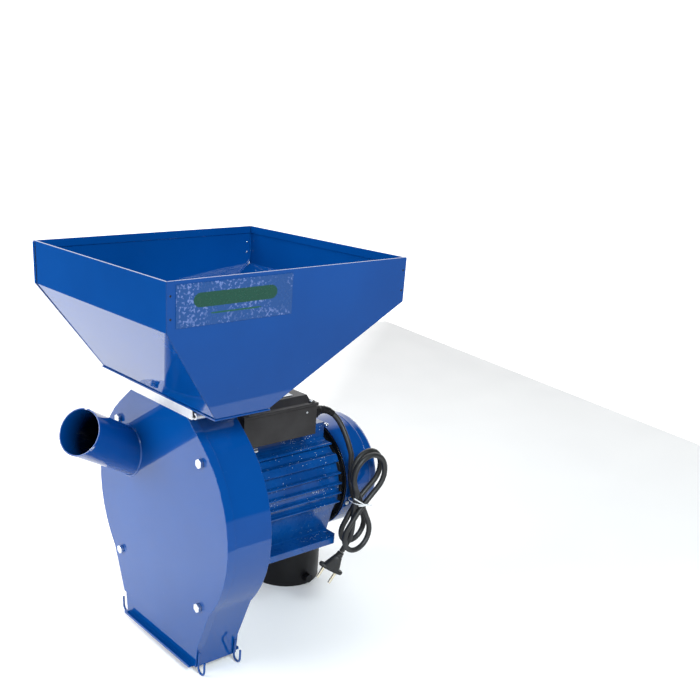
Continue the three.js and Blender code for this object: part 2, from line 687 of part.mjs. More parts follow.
// ---------------------------------------------------------------- rotor and sieve
const PIN_PLACES = [135, 45, 225, 315].map((angle) => [
  PIN_CIRCLE_R * Math.cos(radians(angle)), AXIS_Z + PIN_CIRCLE_R * Math.sin(radians(angle))]);
const DISC_Y1 = DISC_Y0 + DISC_T;
const REAR_DISC_Y0 = DISC_Y1 + HAMMER_SPACE;
const REAR_DISC_Y1 = REAR_DISC_Y0 + DISC_T;

function rotorHub() {
  const bore = SHAFT_R + GAP;
  const profile = [[bore, DISC_Y0], [DISC_R, DISC_Y0], [DISC_R, DISC_Y1], [HUB_R, DISC_Y1],
    [HUB_R, REAR_DISC_Y0], [DISC_R, REAR_DISC_Y0], [DISC_R, REAR_DISC_Y1], [bore, REAR_DISC_Y1]];
  const body = turned(profile).translate(0, 0, AXIS_Z);
  const pinHoles = PIN_PLACES.map(
    ([x, z]) => barY(PIN_R + GAP, DISC_Y0 - 1, REAR_DISC_Y1 + 1, x, z, SMALL_ROUND_STEPS));
  return cut(body, ...pinHoles);
}

function hammerPin(x, z) {
  const shank = barY(PIN_R, DISC_Y0 - 1, REAR_DISC_Y1 + GAP + 1, x, z, SMALL_ROUND_STEPS);
  const head = barY(PIN_HEAD_R, DISC_Y0 - GAP - PIN_HEAD_T, DISC_Y0 - GAP, x, z, SMALL_ROUND_STEPS);
  const washerY = REAR_DISC_Y1 + GAP;
  const washer = barY(PIN_HEAD_R, washerY, washerY + PIN_HEAD_T, x, z, SMALL_ROUND_STEPS);
  return joined(shank, head, washer);
}

// five flat hammers on their spacer sleeve, hanging straight down from one pin
function hammerSet(x, z, firstY) {
  const sleeveY0 = DISC_Y1 + RUNNING_GAP;
  const sleeve = barY(HAMMER_SLEEVE_R, sleeveY0, REAR_DISC_Y0 - RUNNING_GAP, x, z, SMALL_ROUND_STEPS);
  const plates = [];
  for (let i = 0; i < HAMMERS_PER_PIN; i += 1) {
    const y = firstY + i * HAMMER_PITCH;
    plates.push(box(
      x - HAMMER_WIDTH / 2, x + HAMMER_WIDTH / 2, y, y + HAMMER_T, z - HAMMER_REACH, z + HAMMER_TAIL));
  }
  const pinHole = barY(PIN_R + RUNNING_GAP, DISC_Y0, REAR_DISC_Y1, x, z, SMALL_ROUND_STEPS);
  return cut(joined(sleeve, ...plates), pinHole);
}

// perforated screen round the rotor, open at the top where the grain falls in
function sieveRing() {
  const y0 = COVER_T + RUNNING_GAP;
  const y1 = BACK_Y0 - GAP;
  const start = 90 + SIEVE_OPEN_ANGLE;
  const sweep = 360 - 2 * SIEVE_OPEN_ANGLE;
  const line = [];
  for (let i = 0; i <= 2 * ARC_STEPS; i += 1) {
    const angle = radians(start + sweep * i / (2 * ARC_STEPS));
    line.push(new THREE.Vector2(SIEVE_R * Math.cos(angle), AXIS_Z + SIEVE_R * Math.sin(angle)));
  }
  const screen = extrudedY(strip(line, -SIEVE_T, 0), y0, y1);
  const punches = [];
  for (let i = 0; i < SIEVE_HOLES_PER_ROW; i += 1) {
    const angle = radians(start + sweep * (i + 0.5) / SIEVE_HOLES_PER_ROW);
    for (let row = 1; row <= SIEVE_HOLE_ROWS; row += 1) {
      const punch = new THREE.CylinderGeometry(SIEVE_HOLE_R, SIEVE_HOLE_R, 12, 6);
      punch.rotateZ(angle - Math.PI / 2).rotateX(Math.PI / 2);
      punches.push(punch.translate(SIEVE_R * Math.cos(angle), y0 + (y1 - y0) * row / (SIEVE_HOLE_ROWS + 1),
        AXIS_Z + SIEVE_R * Math.sin(angle)));
    }
  }
  return cut(screen, ...punches);
}

function addRotor() {
  addPart('sieve_ring', sieveRing(), BARE_STEEL);
  addPart('rotor_hub', rotorHub(), BARE_STEEL);
  PIN_PLACES.forEach(([x, z], i) => {
    addPart(`hammer_pin_${i + 1}`, hammerPin(x, z), BARE_STEEL);
    const firstY = DISC_Y1 + RUNNING_GAP + (i % 2) * HAMMER_STAGGER;
    addPart(`hammer_set_${i + 1}`, hammerSet(x, z, firstY), BARE_STEEL);
  });
  addPart('motor_shaft', barY(SHAFT_R, SHAFT_Y0, SHAFT_Y1, 0, AXIS_Z, 2 * SMALL_ROUND_STEPS), BARE_STEEL);
}

// ---------------------------------------------------------------- motor
// right half of the frame's end view, axis at the origin, from the pad down to the middle of the belly
function frameHalf() {
  const onBody = (z) => new THREE.Vector2(Math.sqrt(FRAME_R ** 2 - z ** 2), z);
  const onTips = (z) => new THREE.Vector2(Math.sqrt(FIN_R ** 2 - z ** 2), z);
  const padTop = BOX_PAD_Z - AXIS_Z;
  const below = (x) => new THREE.Vector2(x, -Math.sqrt(FRAME_R ** 2 - x ** 2));
  const points = [new THREE.Vector2(PAD_HALF, padTop), new THREE.Vector2(PAD_HALF, -below(PAD_HALF).y)];
  const ribs = [[HIGH_FIN, FIN_T], [LUG_TOP, LUG_T]];
  for (let i = LOW_FIN_COUNT - 1; i >= 0; i -= 1) {
    ribs.push([LOWEST_FIN + i * FIN_PITCH, FIN_T]);
  }
  ribs.forEach(([top, thickness]) => {
    points.push(onBody(top), onTips(top), onTips(top - thickness), onBody(top - thickness));
  });
  points.push(onBody((LOWEST_FIN + LEG_TOP) / 2), onBody(LEG_TOP));
  const ankle = -FOOT_DROP + FOOT_T;
  points.push(new THREE.Vector2(LEG_X, ankle), new THREE.Vector2(FOOT_OUTER, ankle),
    new THREE.Vector2(FOOT_OUTER, -FOOT_DROP), new THREE.Vector2(FOOT_INNER, -FOOT_DROP),
    new THREE.Vector2(FOOT_INNER, ankle));
  for (let i = 0; i < BELLY_STEPS; i += 1) {
    points.push(below(KNEE_X * (1 - i / BELLY_STEPS)));
  }
  return points;
}

// prism that takes the rear outer corner off one foot; side is 1 or -1
function footCorner(side) {
  const near = FOOT_OUTER - FOOT_CORNER - 1;
  const outline = vectors([[side * near, FRAME_Y1 + 1], [side * (FOOT_OUTER + 1), FRAME_Y1 + 1],
    [side * (FOOT_OUTER + 1), FRAME_Y1 - FOOT_CORNER - 1]]);
  return extruded(outline, FOOT_T + 2).translate(0, 0, FOOT_Z - 1);
}

function motorFrame() {
  const right = frameHalf();
  const left = right.map((point) => new THREE.Vector2(-point.x, point.y)).reverse();
  const body = extrudedY([...right, ...left], FRAME_Y0, FRAME_Y1, [circle(FRAME_BORE_R, ROUND_STEPS)]);
  body.translate(0, 0, AXIS_Z);
  const holes = [-FOOT_BOLT_X, FOOT_BOLT_X].flatMap((x) => FOOT_BOLT_Y.map(
    (y) => barZ(FOOT_HOLE_R, FOOT_Z - 1, FOOT_Z + FOOT_T + 1, x, y)));
  return cut(body, ...holes, footCorner(1), footCorner(-1));
}

function driveShield() {
  const seat = DRIVE_BEARING_R + GAP;
  const seatY0 = SHIELD_Y0 + 3;
  const seatY1 = seatY0 + DRIVE_BEARING_T;
  return turned([[SHIELD_BORE_R, SHIELD_Y0], [SHIELD_R, SHIELD_Y0], [SHIELD_R, SHIELD_Y0 + SHIELD_T],
    [seat + BEARING_WALL, SHIELD_Y0 + SHIELD_T], [seat + BEARING_WALL, seatY1], [seat, seatY1],
    [seat, seatY0], [SHIELD_BORE_R, seatY0]]).translate(0, 0, AXIS_Z);
}

// the groove in front of the fan cover is where the cooling air leaves
function rearShield() {
  const seat = REAR_BEARING_R + GAP;
  const seatY1 = REAR_SHIELD_Y1 - 3;
  const seatY0 = seatY1 - REAR_BEARING_T;
  const grooveY1 = REAR_SHIELD_Y0 + 6;
  const rimR = FAN_COVER_R - FAN_COVER_T - GAP;
  return turned([[seat, seatY0], [seat + BEARING_WALL, seatY0], [seat + BEARING_WALL, REAR_SHIELD_Y0],
    [REAR_SHIELD_WAIST_R, REAR_SHIELD_Y0], [REAR_SHIELD_WAIST_R, grooveY1], [rimR, grooveY1],
    [rimR, REAR_SHIELD_Y1], [SHIELD_BORE_R, REAR_SHIELD_Y1], [SHIELD_BORE_R, seatY1], [seat, seatY1]])
    .translate(0, 0, AXIS_Z);
}

function bearing(radius, y0, width) {
  return axisRing(radius, SHAFT_R + GAP, y0, y0 + width, 2 * SMALL_ROUND_STEPS);
}

// cup over the fan with a raised bead, a rounded back edge and radial air slots
function fanCover() {
  const outer = [[FAN_COVER_R, FAN_COVER_Y0], [FAN_COVER_R, BEAD_Y - 2], [FAN_COVER_R + 1, BEAD_Y],
    [FAN_COVER_R, BEAD_Y + 2]];
  const inner = [[FAN_COVER_R - FAN_COVER_T, FAN_COVER_Y0]];
  for (let i = 0; i <= 4; i += 1) {
    const angle = radians(90 * i / 4);
    const centreR = FAN_COVER_R - FAN_COVER_ROUND;
    const centreY = FAN_COVER_Y1 - FAN_COVER_ROUND;
    const insideR = FAN_COVER_ROUND - FAN_COVER_T;
    outer.push([centreR + FAN_COVER_ROUND * Math.cos(angle), centreY + FAN_COVER_ROUND * Math.sin(angle)]);
    inner.push([centreR + insideR * Math.cos(angle), centreY + insideR * Math.sin(angle)]);
  }
  outer.push([0, FAN_COVER_Y1]);
  inner.push([0, FAN_COVER_Y1 - FAN_COVER_T]);
  const profile = vectors([...inner.reverse(), ...outer]);
  const cup = new THREE.LatheGeometry(profile, ROUND_STEPS).translate(0, 0, AXIS_Z);
  const slots = [];
  for (let i = 0; i < VENT_COUNT; i += 1) {
    const slot = box(24, 62, FAN_COVER_Y1 - 10, FAN_COVER_Y1 + 10, -2.5, 2.5);
    slots.push(slot.rotateY(2 * Math.PI * i / VENT_COUNT).translate(0, 0, AXIS_Z));
  }
  return cut(cup, ...slots);
}

function coolingFan() {
  const pieces = [axisRing(FAN_HUB_R, SHAFT_R + GAP, FAN_Y0, FAN_Y1, 2 * SMALL_ROUND_STEPS),
    axisRing(FAN_R, FAN_HUB_R - 2, FAN_Y0, FAN_Y0 + FAN_BLADE_T, ROUND_STEPS)];
  for (let i = 0; i < FAN_BLADES; i += 1) {
    const blade = box(FAN_HUB_R - 2, FAN_R, FAN_Y0, FAN_Y1, -FAN_BLADE_T / 2, FAN_BLADE_T / 2);
    pieces.push(blade.rotateY(2 * Math.PI * i / FAN_BLADES).translate(0, 0, AXIS_Z));
  }
  return joined(...pieces);
}

function addMotor() {
  const driveSeatY = SHIELD_Y0 + 3 + GAP;
  const rearSeatY = REAR_SHIELD_Y1 - 3 - REAR_BEARING_T - GAP;
  addPart('drive_end_shield', driveShield(), MOTOR_BLUE);
  addPart('motor_frame', motorFrame(), MOTOR_BLUE);
  addPart('rear_end_shield', rearShield(), BLACK_PLASTIC);
  addPart('drive_bearing', bearing(DRIVE_BEARING_R, driveSeatY, DRIVE_BEARING_T - GAP), BARE_STEEL);
  addPart('rear_bearing', bearing(REAR_BEARING_R, rearSeatY, REAR_BEARING_T), BARE_STEEL);
  addPart('stator_core', axisRing(STATOR_R, STATOR_BORE_R, STATOR_Y0, STATOR_Y1), COPPER);
  addPart('rotor_core', axisRing(ROTOR_CORE_R, SHAFT_R + GAP, STATOR_Y0 + 2, STATOR_Y1 - 2), BARE_STEEL);
  addPart('cooling_fan', coolingFan(), BLACK_PLASTIC);
  addPart('fan_cover', fanCover(), MOTOR_BLUE);
}

// ---------------------------------------------------------------- terminal box
function terminalBox() {
  const outside = box(-BOX_HALF, BOX_HALF, BOX_Y0, BOX_Y1, BOX_Z0, BOX_Z1);
  const inside = box(-BOX_HALF + BOX_WALL, BOX_HALF - BOX_WALL, BOX_Y0 + BOX_WALL, BOX_Y1 - BOX_WALL,
    BOX_Z0 + BOX_WALL, BOX_Z1 + 1);
  return cut(outside, inside);
}

// lip all round, with a raised middle that slopes up from it
function terminalLid() {
  const half = BOX_HALF + LID_OVERHANG;
  const y0 = BOX_Y0 - LID_OVERHANG;
  const y1 = BOX_Y1 + LID_OVERHANG;
  const lip = box(-half, half, y0, y1, LID_Z0, LID_Z0 + LID_LIP);
  const profile = [[-half + 5, LID_Z0 + LID_LIP - 1], [half - 5, LID_Z0 + LID_LIP - 1],
    [half - LID_SLOPE, LID_Z0 + LID_RISE], [-half + LID_SLOPE, LID_Z0 + LID_RISE]];
  return joined(lip, extrudedY(vectors(profile), y0 + 8, y1 - 8));
}

function cableGland() {
  const y = BOX_Y1 + GAP;
  const nut = hexY(GLAND_FLATS, y, y + 6, GLAND_X, GLAND_Z);
  const dome = turned([[CORD_R + GAP, 5], [GLAND_FLATS / 2 - 1, 5], [GLAND_FLATS / 2 - 2, 12],
    [CORD_R + 2.5, GLAND_LENGTH], [CORD_R + GAP, GLAND_LENGTH]], SMALL_ROUND_STEPS)
    .translate(GLAND_X, y, GLAND_Z);
  return joined(nut, dome);
}

function addTerminalBox() {
  const plateZ = LID_Z0 + LID_RISE + GAP;
  addPart('terminal_box', terminalBox(), BOX_PLASTIC);
  addPart('terminal_lid', terminalLid(), BOX_PLASTIC);
  addPart('rating_plate', box(2, 46, BOX_Y1 - 62, BOX_Y1 - 26, plateZ, plateZ + PLATE_T), PLATE_SILVER);
  addPart('start_capacitor', barY(CAPACITOR_R, BOX_Y0 + 12, BOX_Y0 + 12 + CAPACITOR_LENGTH, -34,
    BOX_Z0 + BOX_WALL + GAP + CAPACITOR_R, 2 * SMALL_ROUND_STEPS), PLATE_SILVER);
  addPart('cable_gland', cableGland(), BLACK_PLASTIC);
}

// ---------------------------------------------------------------- support foot
// open-bottomed black can under the left motor foot
function supportFoot() {
  const height = CAN_TOP_Z - FLOOR_Z;
  const profile = [[CAN_R - CAN_WALL, 0], [CAN_R - 1.5, 0]];
  for (let i = 1; i <= 3; i += 1) {
    const angle = radians(-90 + 90 * i / 3);
    profile.push([CAN_R - 1.5 + 1.5 * Math.cos(angle), 1.5 + 1.5 * Math.sin(angle)]);
  }
  for (let i = 0; i <= 3; i += 1) {
    const angle = radians(90 * i / 3);
    const centre = [CAN_R - CAN_ROUND, height - CAN_ROUND];
    profile.push([centre[0] + CAN_ROUND * Math.cos(angle), centre[1] + CAN_ROUND * Math.sin(angle)]);
  }
  profile.push([0, height], [0, height - CAN_WALL], [CAN_R - CAN_WALL, height - CAN_WALL]);
  const can = turnedOpen(profile).rotateX(Math.PI / 2).translate(CAN_X, CAN_Y, FLOOR_Z);
  const boltHole = barZ(FOOT_HOLE_R, CAN_TOP_Z - 20, CAN_TOP_Z + 5, -FOOT_BOLT_X, FOOT_BOLT_Y[1]);
  const screwHole = new THREE.CylinderGeometry(BOLT_HOLE_R, BOLT_HOLE_R, 30, BOLT_STEPS)
    .rotateZ(Math.PI / 2).translate(CAN_X + CAN_R, CAN_Y, FLOOR_Z + CAN_SCREW_Z);
  return cut(can, boltHole, screwHole);
}

// solid of revolution about Y whose profile touches the axis on one stretch
function turnedOpen(profile) {
  const split = profile.findIndex(([radius]) => radius === 0);
  const ordered = [...profile.slice(split + 1), ...profile.slice(0, split + 1)];
  return new THREE.LatheGeometry(vectors(ordered), ROUND_STEPS);
}

function supportScrew() {
  const outside = CAN_X + CAN_R + GAP;
  const head = new THREE.CylinderGeometry(CAN_SCREW_FLATS / Math.sqrt(3), CAN_SCREW_FLATS / Math.sqrt(3),
    CAN_SCREW_HEAD, 6).rotateZ(Math.PI / 2).translate(outside + CAN_SCREW_HEAD / 2, 0, 0);
  const shank = new THREE.CylinderGeometry(BOLT_R, BOLT_R, 14, BOLT_STEPS)
    .rotateZ(Math.PI / 2).translate(outside - 6, 0, 0);
  return joined(head, shank).translate(0, CAN_Y, FLOOR_Z + CAN_SCREW_Z);
}

// bolt through the motor's left rear foot hole into the can, with its nut below
function footBolt() {
  const footTop = FOOT_Z + FOOT_T + GAP;
  const nutTop = CAN_TOP_Z - CAN_WALL - GAP;
  const head = hexZ(FOOT_BOLT_FLATS, footTop, footTop + FOOT_BOLT_HEAD, -FOOT_BOLT_X, FOOT_BOLT_Y[1]);
  const shank = barZ(FOOT_BOLT_R, nutTop - FOOT_NUT_T - 2, footTop + 1, -FOOT_BOLT_X, FOOT_BOLT_Y[1]);
  const nut = hexZ(FOOT_BOLT_FLATS, nutTop - FOOT_NUT_T, nutTop, -FOOT_BOLT_X, FOOT_BOLT_Y[1]);
  return joined(head, shank, nut);
}

function addSupport() {
  addPart('support_foot', supportFoot(), BLACK_PLASTIC);
  addPart('support_screw', supportScrew(), BLACK_PLASTIC);
  addPart('foot_bolt', footBolt(), ZINC);
}

// ---------------------------------------------------------------- mains lead and plug
function cordLead() {
  const route = CORD_ROUTE.map(([x, y, z]) => new THREE.Vector3(x, y, z));
  return swept(new THREE.CatmullRomCurve3(route), CORD_R, 8, 10);
}

// closed outline round two bends of different size
function hankOutline() {
  const shape = [];
  const lean = new THREE.Vector2(HANK_TOP.x - HANK_BOTTOM.x, HANK_TOP.y - HANK_BOTTOM.y).angle();
  [[HANK_TOP, -Math.PI / 2], [HANK_BOTTOM, Math.PI / 2]].forEach(([bend, from]) => {
    for (let i = 0; i <= 10; i += 1) {
      const angle = lean + from + Math.PI * i / 10;
      shape.push(new THREE.Vector2(bend.x + bend.z * Math.cos(angle), bend.y + bend.z * Math.sin(angle)));
    }
  });
  return shape;
}

// the plug is drawn with its pins pointing down and its flange along X, then laid along its cord
function plugFrame() {
  const up = PLUG_DOWN.clone().negate().normalize();
  const across = PLUG_ACROSS.clone().addScaledVector(up, -PLUG_ACROSS.dot(up)).normalize();
  const through = new THREE.Vector3().crossVectors(up, across);
  const base = PLUG_TOP.clone().addScaledVector(up, -PLUG_LENGTH);
  return new THREE.Matrix4().makeBasis(across, through, up).setPosition(base);
}

function plugBody() {
  const outline = vectors([[-5.5, PLUG_LENGTH], [-12, PLUG_FLANGE_T], [-PLUG_FLANGE_HALF, PLUG_FLANGE_T],
    [-PLUG_FLANGE_HALF, 0], [PLUG_FLANGE_HALF, 0], [PLUG_FLANGE_HALF, PLUG_FLANGE_T],
    [12, PLUG_FLANGE_T], [5.5, PLUG_LENGTH]]);
  return extrudedY(outline, -PLUG_THICK / 2, PLUG_THICK / 2).applyMatrix4(plugFrame());
}

function plugPin(side) {
  const pin = barZ(PLUG_PIN_R, -GAP - PLUG_PIN_LENGTH, -GAP, side * PLUG_PIN_PITCH / 2, 0);
  return pin.applyMatrix4(plugFrame());
}

function addCord() {
  addPart('cord_lead', cordLead(), BLACK_RUBBER);
  addPart('cord_hank', extrudedX(hankOutline(), HANK_X0, HANK_X1), BLACK_RUBBER);
  addPart('plug_body', plugBody(), BLACK_RUBBER);
  addPart('plug_pin_1', plugPin(-1), PIN_BRASS);
  addPart('plug_pin_2', plugPin(1), PIN_BRASS);
}

// ---------------------------------------------------------------- assembly
// origin in the middle of the base of everything but the lead
function centreOnBase() {
  const lead = ['cord_lead', 'cord_hank', 'plug_body', 'plug_pin_1', 'plug_pin_2'];
  const bounds = new THREE.Box3();
  const rigid = mill.children.filter((mesh) => !lead.includes(mesh.name));
  rigid.forEach((mesh) => bounds.expandByObject(mesh, true));
  const middle = bounds.getCenter(new THREE.Vector3());
  mill.position.set(-middle.x, -middle.y, -bounds.min.z);
  mill.updateMatrixWorld(true);
}

addChamber();
addGate();
addHopper();
addRotor();
addMotor();
addTerminalBox();
addSupport();
addCord();
centreOnBase();

export default mill;
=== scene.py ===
# A small electric hammer mill on a pale table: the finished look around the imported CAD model.
import json
import math

import bmesh
import bpy
from mathutils import Matrix, Vector, noise


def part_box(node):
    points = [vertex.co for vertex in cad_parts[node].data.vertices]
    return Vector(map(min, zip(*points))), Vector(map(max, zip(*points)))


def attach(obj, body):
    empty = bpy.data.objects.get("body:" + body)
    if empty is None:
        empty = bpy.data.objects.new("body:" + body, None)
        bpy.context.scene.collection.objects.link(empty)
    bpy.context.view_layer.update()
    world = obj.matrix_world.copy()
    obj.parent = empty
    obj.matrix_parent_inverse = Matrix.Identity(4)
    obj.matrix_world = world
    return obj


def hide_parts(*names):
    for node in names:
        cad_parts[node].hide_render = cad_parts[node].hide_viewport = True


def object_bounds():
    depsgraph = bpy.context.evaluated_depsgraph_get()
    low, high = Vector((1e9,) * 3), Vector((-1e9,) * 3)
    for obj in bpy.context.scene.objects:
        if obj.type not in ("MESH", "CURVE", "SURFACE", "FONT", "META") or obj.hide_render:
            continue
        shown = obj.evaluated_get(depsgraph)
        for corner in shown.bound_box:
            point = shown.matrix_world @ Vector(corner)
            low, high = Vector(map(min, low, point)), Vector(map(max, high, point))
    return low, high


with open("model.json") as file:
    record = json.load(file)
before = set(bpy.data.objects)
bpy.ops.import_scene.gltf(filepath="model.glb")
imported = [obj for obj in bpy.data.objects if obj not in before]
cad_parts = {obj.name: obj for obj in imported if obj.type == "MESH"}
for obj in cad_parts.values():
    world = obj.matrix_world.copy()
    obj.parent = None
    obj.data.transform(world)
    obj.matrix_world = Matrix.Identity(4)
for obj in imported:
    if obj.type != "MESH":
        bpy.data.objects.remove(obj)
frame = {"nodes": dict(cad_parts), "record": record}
cad_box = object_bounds()

# ---------------------------------------------------------------- places and sizes
# The mill's own millimetre grid: X = 0 in its middle plane, Y = 0 on the cover's face and
# Z = 0 at the lower edge of the outlet, as in the part's source.
MM = 0.001
COVER_LOW, COVER_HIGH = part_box("front_cover")
MILL_ZERO = Vector(((COVER_LOW.x + COVER_HIGH.x) / 2, COVER_LOW.y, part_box("chamber_shell")[0].z))

# camera
CAMERA_PLACE = (950.7, -582.3, 698.3)    # mm on the mill's grid
CAMERA_AZIMUTH = 53.34
CAMERA_ELEVATION = 21.81
CAMERA_ROLL = 1.72
CAMERA_LENS = 48.1                       # mm, on a 36 mm sensor
CAMERA_SHIFT = (0.162, 0.170)

# mains lead
CORD_R = 3.75
LEAD_ROUTE = [
    (52, 222.7, 307), (52.6, 229, 306.6), (54.5, 236.5, 304.4), (58.5, 243, 299.3), (64, 247.5, 292),
    (70.5, 250, 282.6), (77, 251.5, 272), (82.5, 252.6, 261.4), (86, 253.6, 251.6), (88, 254.2, 247.6),
]
LEAD_INTO_HANK = [(86.6, 255.4, 229), (85.8, 258.5, 206)]
HANK_LAYERS = (85.5, 93, 100.5, 108)     # x of each pass through the tie
TIE_PLACE = (266, 180)                   # y and z of the crossing
INNER_LOOPS = ((267, 138, 24), (276, 223, 29))     # y, z and radius: lower, then upper
OUTER_LOOPS = ((261, 134, 26), (272, 221, 29))
LOOP_STEPS = 12
TAIL_ROUTE = [
    (106, 252, 195), (102.8, 254, 180), (101, 254.8, 165), (100.5, 255, 150), (99.5, 255.2, 137),
    (97.6, 254.8, 127.5), (95.2, 252.9, 119), (92.7, 249.8, 111), (90.6, 247.2, 104.2),
]
SLEEVE_SPANS = 3                         # stretches of the route that the sleeve covers
SLEEVE_STEPS = 22
SLEEVE_R, SLEEVE_TAPER, SLEEVE_RIB = 5.6, 1.4, 0.5
TIE_R = 0.9

# plug
PLUG_TOP = Vector((90, 246.5, 102))
PLUG_DOWN = Vector((-0.27, -0.36, -0.89))
PLUG_ACROSS = Vector((0.53, 0.7, -0.48))
PLUG_LENGTH = 31
# half width, half depth, height and squareness of each ring: neck and grip downwards, flange upwards
PLUG_NECK = [
    (4.5, 4.5, 31, 2), (4.9, 4.9, 30.2, 2), (4.9, 4.9, 28.6, 2), (4.3, 4.3, 28.2, 2), (4.3, 4.3, 27.4, 2),
    (5.3, 5.2, 27, 2), (5.5, 5.4, 25.2, 2), (4.8, 4.8, 24.8, 2), (4.9, 4.9, 23.8, 2), (6.2, 5.7, 23.2, 2.2),
]
PLUG_GRIP = [
    (7.6, 6.1, 18.5, 2.6), (9.8, 6.4, 12, 3), (11.6, 6.5, 6.8, 3.4), (12, 6.5, 4.6, 3.6), (12, 6.4, 1, 3.6),
]
PLUG_FLANGE = [
    (17.4, 5.4, 0, 2.6), (18.2, 6.2, 0.7, 2.6), (18.4, 6.4, 2.2, 2.6), (18.2, 6.2, 4.4, 2.6),
    (17.2, 5.4, 5.1, 2.6),
]
PLUG_SIDES = 32

# cob pipe
PIPE_FOOT = Vector((-75, 0, 252.3))
PIPE_TURN = 21.5
PIPE_RISE = 29
PIPE_R = 31
PIPE_REACH = 110
PIPE_WALL = 1.0
WELD_BEAD_R = 2.1
WELD_WOBBLE = 0.5                        # most that the bead wanders up or down
WELD_STEPS = 40
LIP_BEAD_R = 0.95
LIP_STEPS = 32
CHIPS_FROM, CHIPS_FULL = 3.0, 0.8        # distances below the mouth
# painted shade inside the cob pipe: distances below the mouth where it begins and where it is full
INSIDE_SHADE_FROM, INSIDE_SHADE_FULL = 2, 40

# chamber and motor
AXIS_Z = 193.5
FAN_COVER_R = 80
FAN_SCREW_Y = 263
FAN_SCREW_ANGLE = -17
FAN_SCREW_COUNT = 4
FAN_SCREW_SIZE, LID_SCREW_SIZE, EARTH_SCREW_SIZE = (3.4, 2.4), (3.0, 1.9), (1.4, 0.8)     # radius, height
SCREW_TURN = (0.3, 0.7, 0.64)
COVER_BOLT = 97.8                        # cover bolts, from the axis to each side and up and down
THREAD_START_Y = 70                      # inside the chamber's back, where the threads begin
THREAD_R, THREAD_ROOT_R, THREAD_TIP_R = 2.9, 2.5, 2.0
THREAD_STEP, THREAD_STEPS = 0.6, 22      # half a turn of thread, and how many there are
LID_LIP_Z = 322
LID_SCREW_X = 60
LID_SCREW_YS = (92, 200)
LID_BOSS = [(5.2, 0), (5.2, 6.2), (4.9, 6.8), (3.9, 6.9), (3.6, 6.0)]     # radius and height
EARTH_SCREW_PLACE = (66, 189, 313)

# hopper, outside faces
HOPPER_X, HOPPER_LOW_X = 156.1, 131.7
HOPPER_Y0, HOPPER_Y1 = -85.4, 254.3
HOPPER_LOW_Y0, HOPPER_LOW_Y1 = -4.9, 72.5
HOPPER_RIM_Z, HOPPER_FOLD_Z, HOPPER_LOW_Z = 523, 470, 356.9
HOPPER_SKIN = 1.6                        # from the outside faces in to the middle of a seam
SEAM_R = 1.3
SEAM_MIDDLE_Z = 496
FLANGE_OUT = (0, -0.93, -0.36)
# name, distance in from the corner, half width, height and finish
CORNER_STRIPS = [
    ("hopper_corner_flange", 2.6, 2.4, 0.9, "blue_enamel"),
    # a dark strip as painted shade in the gap beside the flange
    ("hopper_corner_gap_shade", 6.0, 0.9, 0.25, "dark_casting"),
]
STRIP_SINK = 0.3
BARE_WELD_R, DARK_WELD_R = 1.5, 1.3
BARE_WELD_INSET, DARK_WELD_INSET = 7, 5
INNER_WELD_ZS = (500, 486)
OUTER_WELD_ZS = (508, 484)

# rounding of the CAD pieces' edges, in millimetres, and the angles that decide what is an edge
EDGE_ROUND = {
    "blue_enamel": 0.45, "fan_cover_blue": 0.5, "motor_blue": 0.9, "dark_casting": 0.6, "zinc": 0.35,
    "bare_steel": 0.3, "lamination_steel": 0.3, "box_plastic": 0.8, "black_plastic": 0.5,
    "plate_silver": 0.1, "capacitor_can": 1.0, "label_film": 0.1, "black_rubber": 0.5, "pin_brass": 0.5,
}
WELD_GAP = 0.01                          # corners closer than this are one
FLAT_ANGLE = 1.0                         # facets that differ by less lie in one plane
EDGE_ANGLE = 28                          # what folds by more is an edge to round

# colours and prints
COAT_IOR = 1.5
ENAMEL_ROUGHNESS = 0.12
ORANGE_PEEL = 0.05
ENAMEL_COAT = {"coat": 1.0, "coat_roughness": 0.03, "specular": 0.0}
BLUE = (0.0010, 0.058, 0.262)
DEEP_BLUE = (0.0008, 0.050, 0.230)
PALE_DUST = (0.15, 0.34, 0.60)
WHITE_PIT = (0.75, 0.85, 0.95)
DULL_STAIN = (0.25, 0.22, 0.19)
CHIPPED_EDGE = (0.82, 0.84, 0.88)
# colour of the painted shade inside the cob pipe
PIPE_INSIDE_SHADE = (0.0002, 0.003, 0.012)
FILM_BLUE, FILM_BUBBLES = (0.008, 0.060, 0.22), (0.12, 0.18, 0.42)
BAR_GREEN, LINE_GREEN = (0.002, 0.055, 0.035), (0.004, 0.075, 0.05)
# half length, half height and centre height, in shares of the label
LABEL_BAR, LABEL_LINE = (0.36, 0.17, 0.6), (0.22, 0.02, 0.27)
LABEL_ROUNDING = 0.06
FOIL, FOIL_SHADE, FOIL_RULING = (0.72, 0.74, 0.76), (0.58, 0.6, 0.63), (0.25, 0.26, 0.28)
TABLE_WHITE, TABLE_SHADE = (0.86, 0.86, 0.87), (0.9, 0.9, 0.9)

# studio: levels of the world's light, and the cosines between which each of them fades in
BACKDROP_LEVEL, BACKDROP_FADE = 1.7, (0.5, 0.66)      # behind the object
FILL_LEVEL, FILL_FADE = 0.9, (0.5, 0.8)               # behind the camera
GROUND_LEVEL, GROUND_FADE = 0.4, (0.2, 0.4)           # below the horizon on the right
HORIZON_FADE = (-0.02, 0.02)
LEFT_FADE = (0.05, 0.3)                               # metres towards the left front
ROOM_LEVEL = 0.05                                     # everywhere
FLOOR_GLOW = 0.14
LEFT_GLOW = 0.55                                      # added on the left front of the table
LEFT_FRONT = (-0.8, -0.6, 0)
TABLE_OUTLINE = [
    (-1.25, -0.1), (-1.25, -1.2), (0.45, -1.4), (0.53, 0.42), (0.15, 1.3), (-1.3, 1.6), (-1.6, 0.3),
]
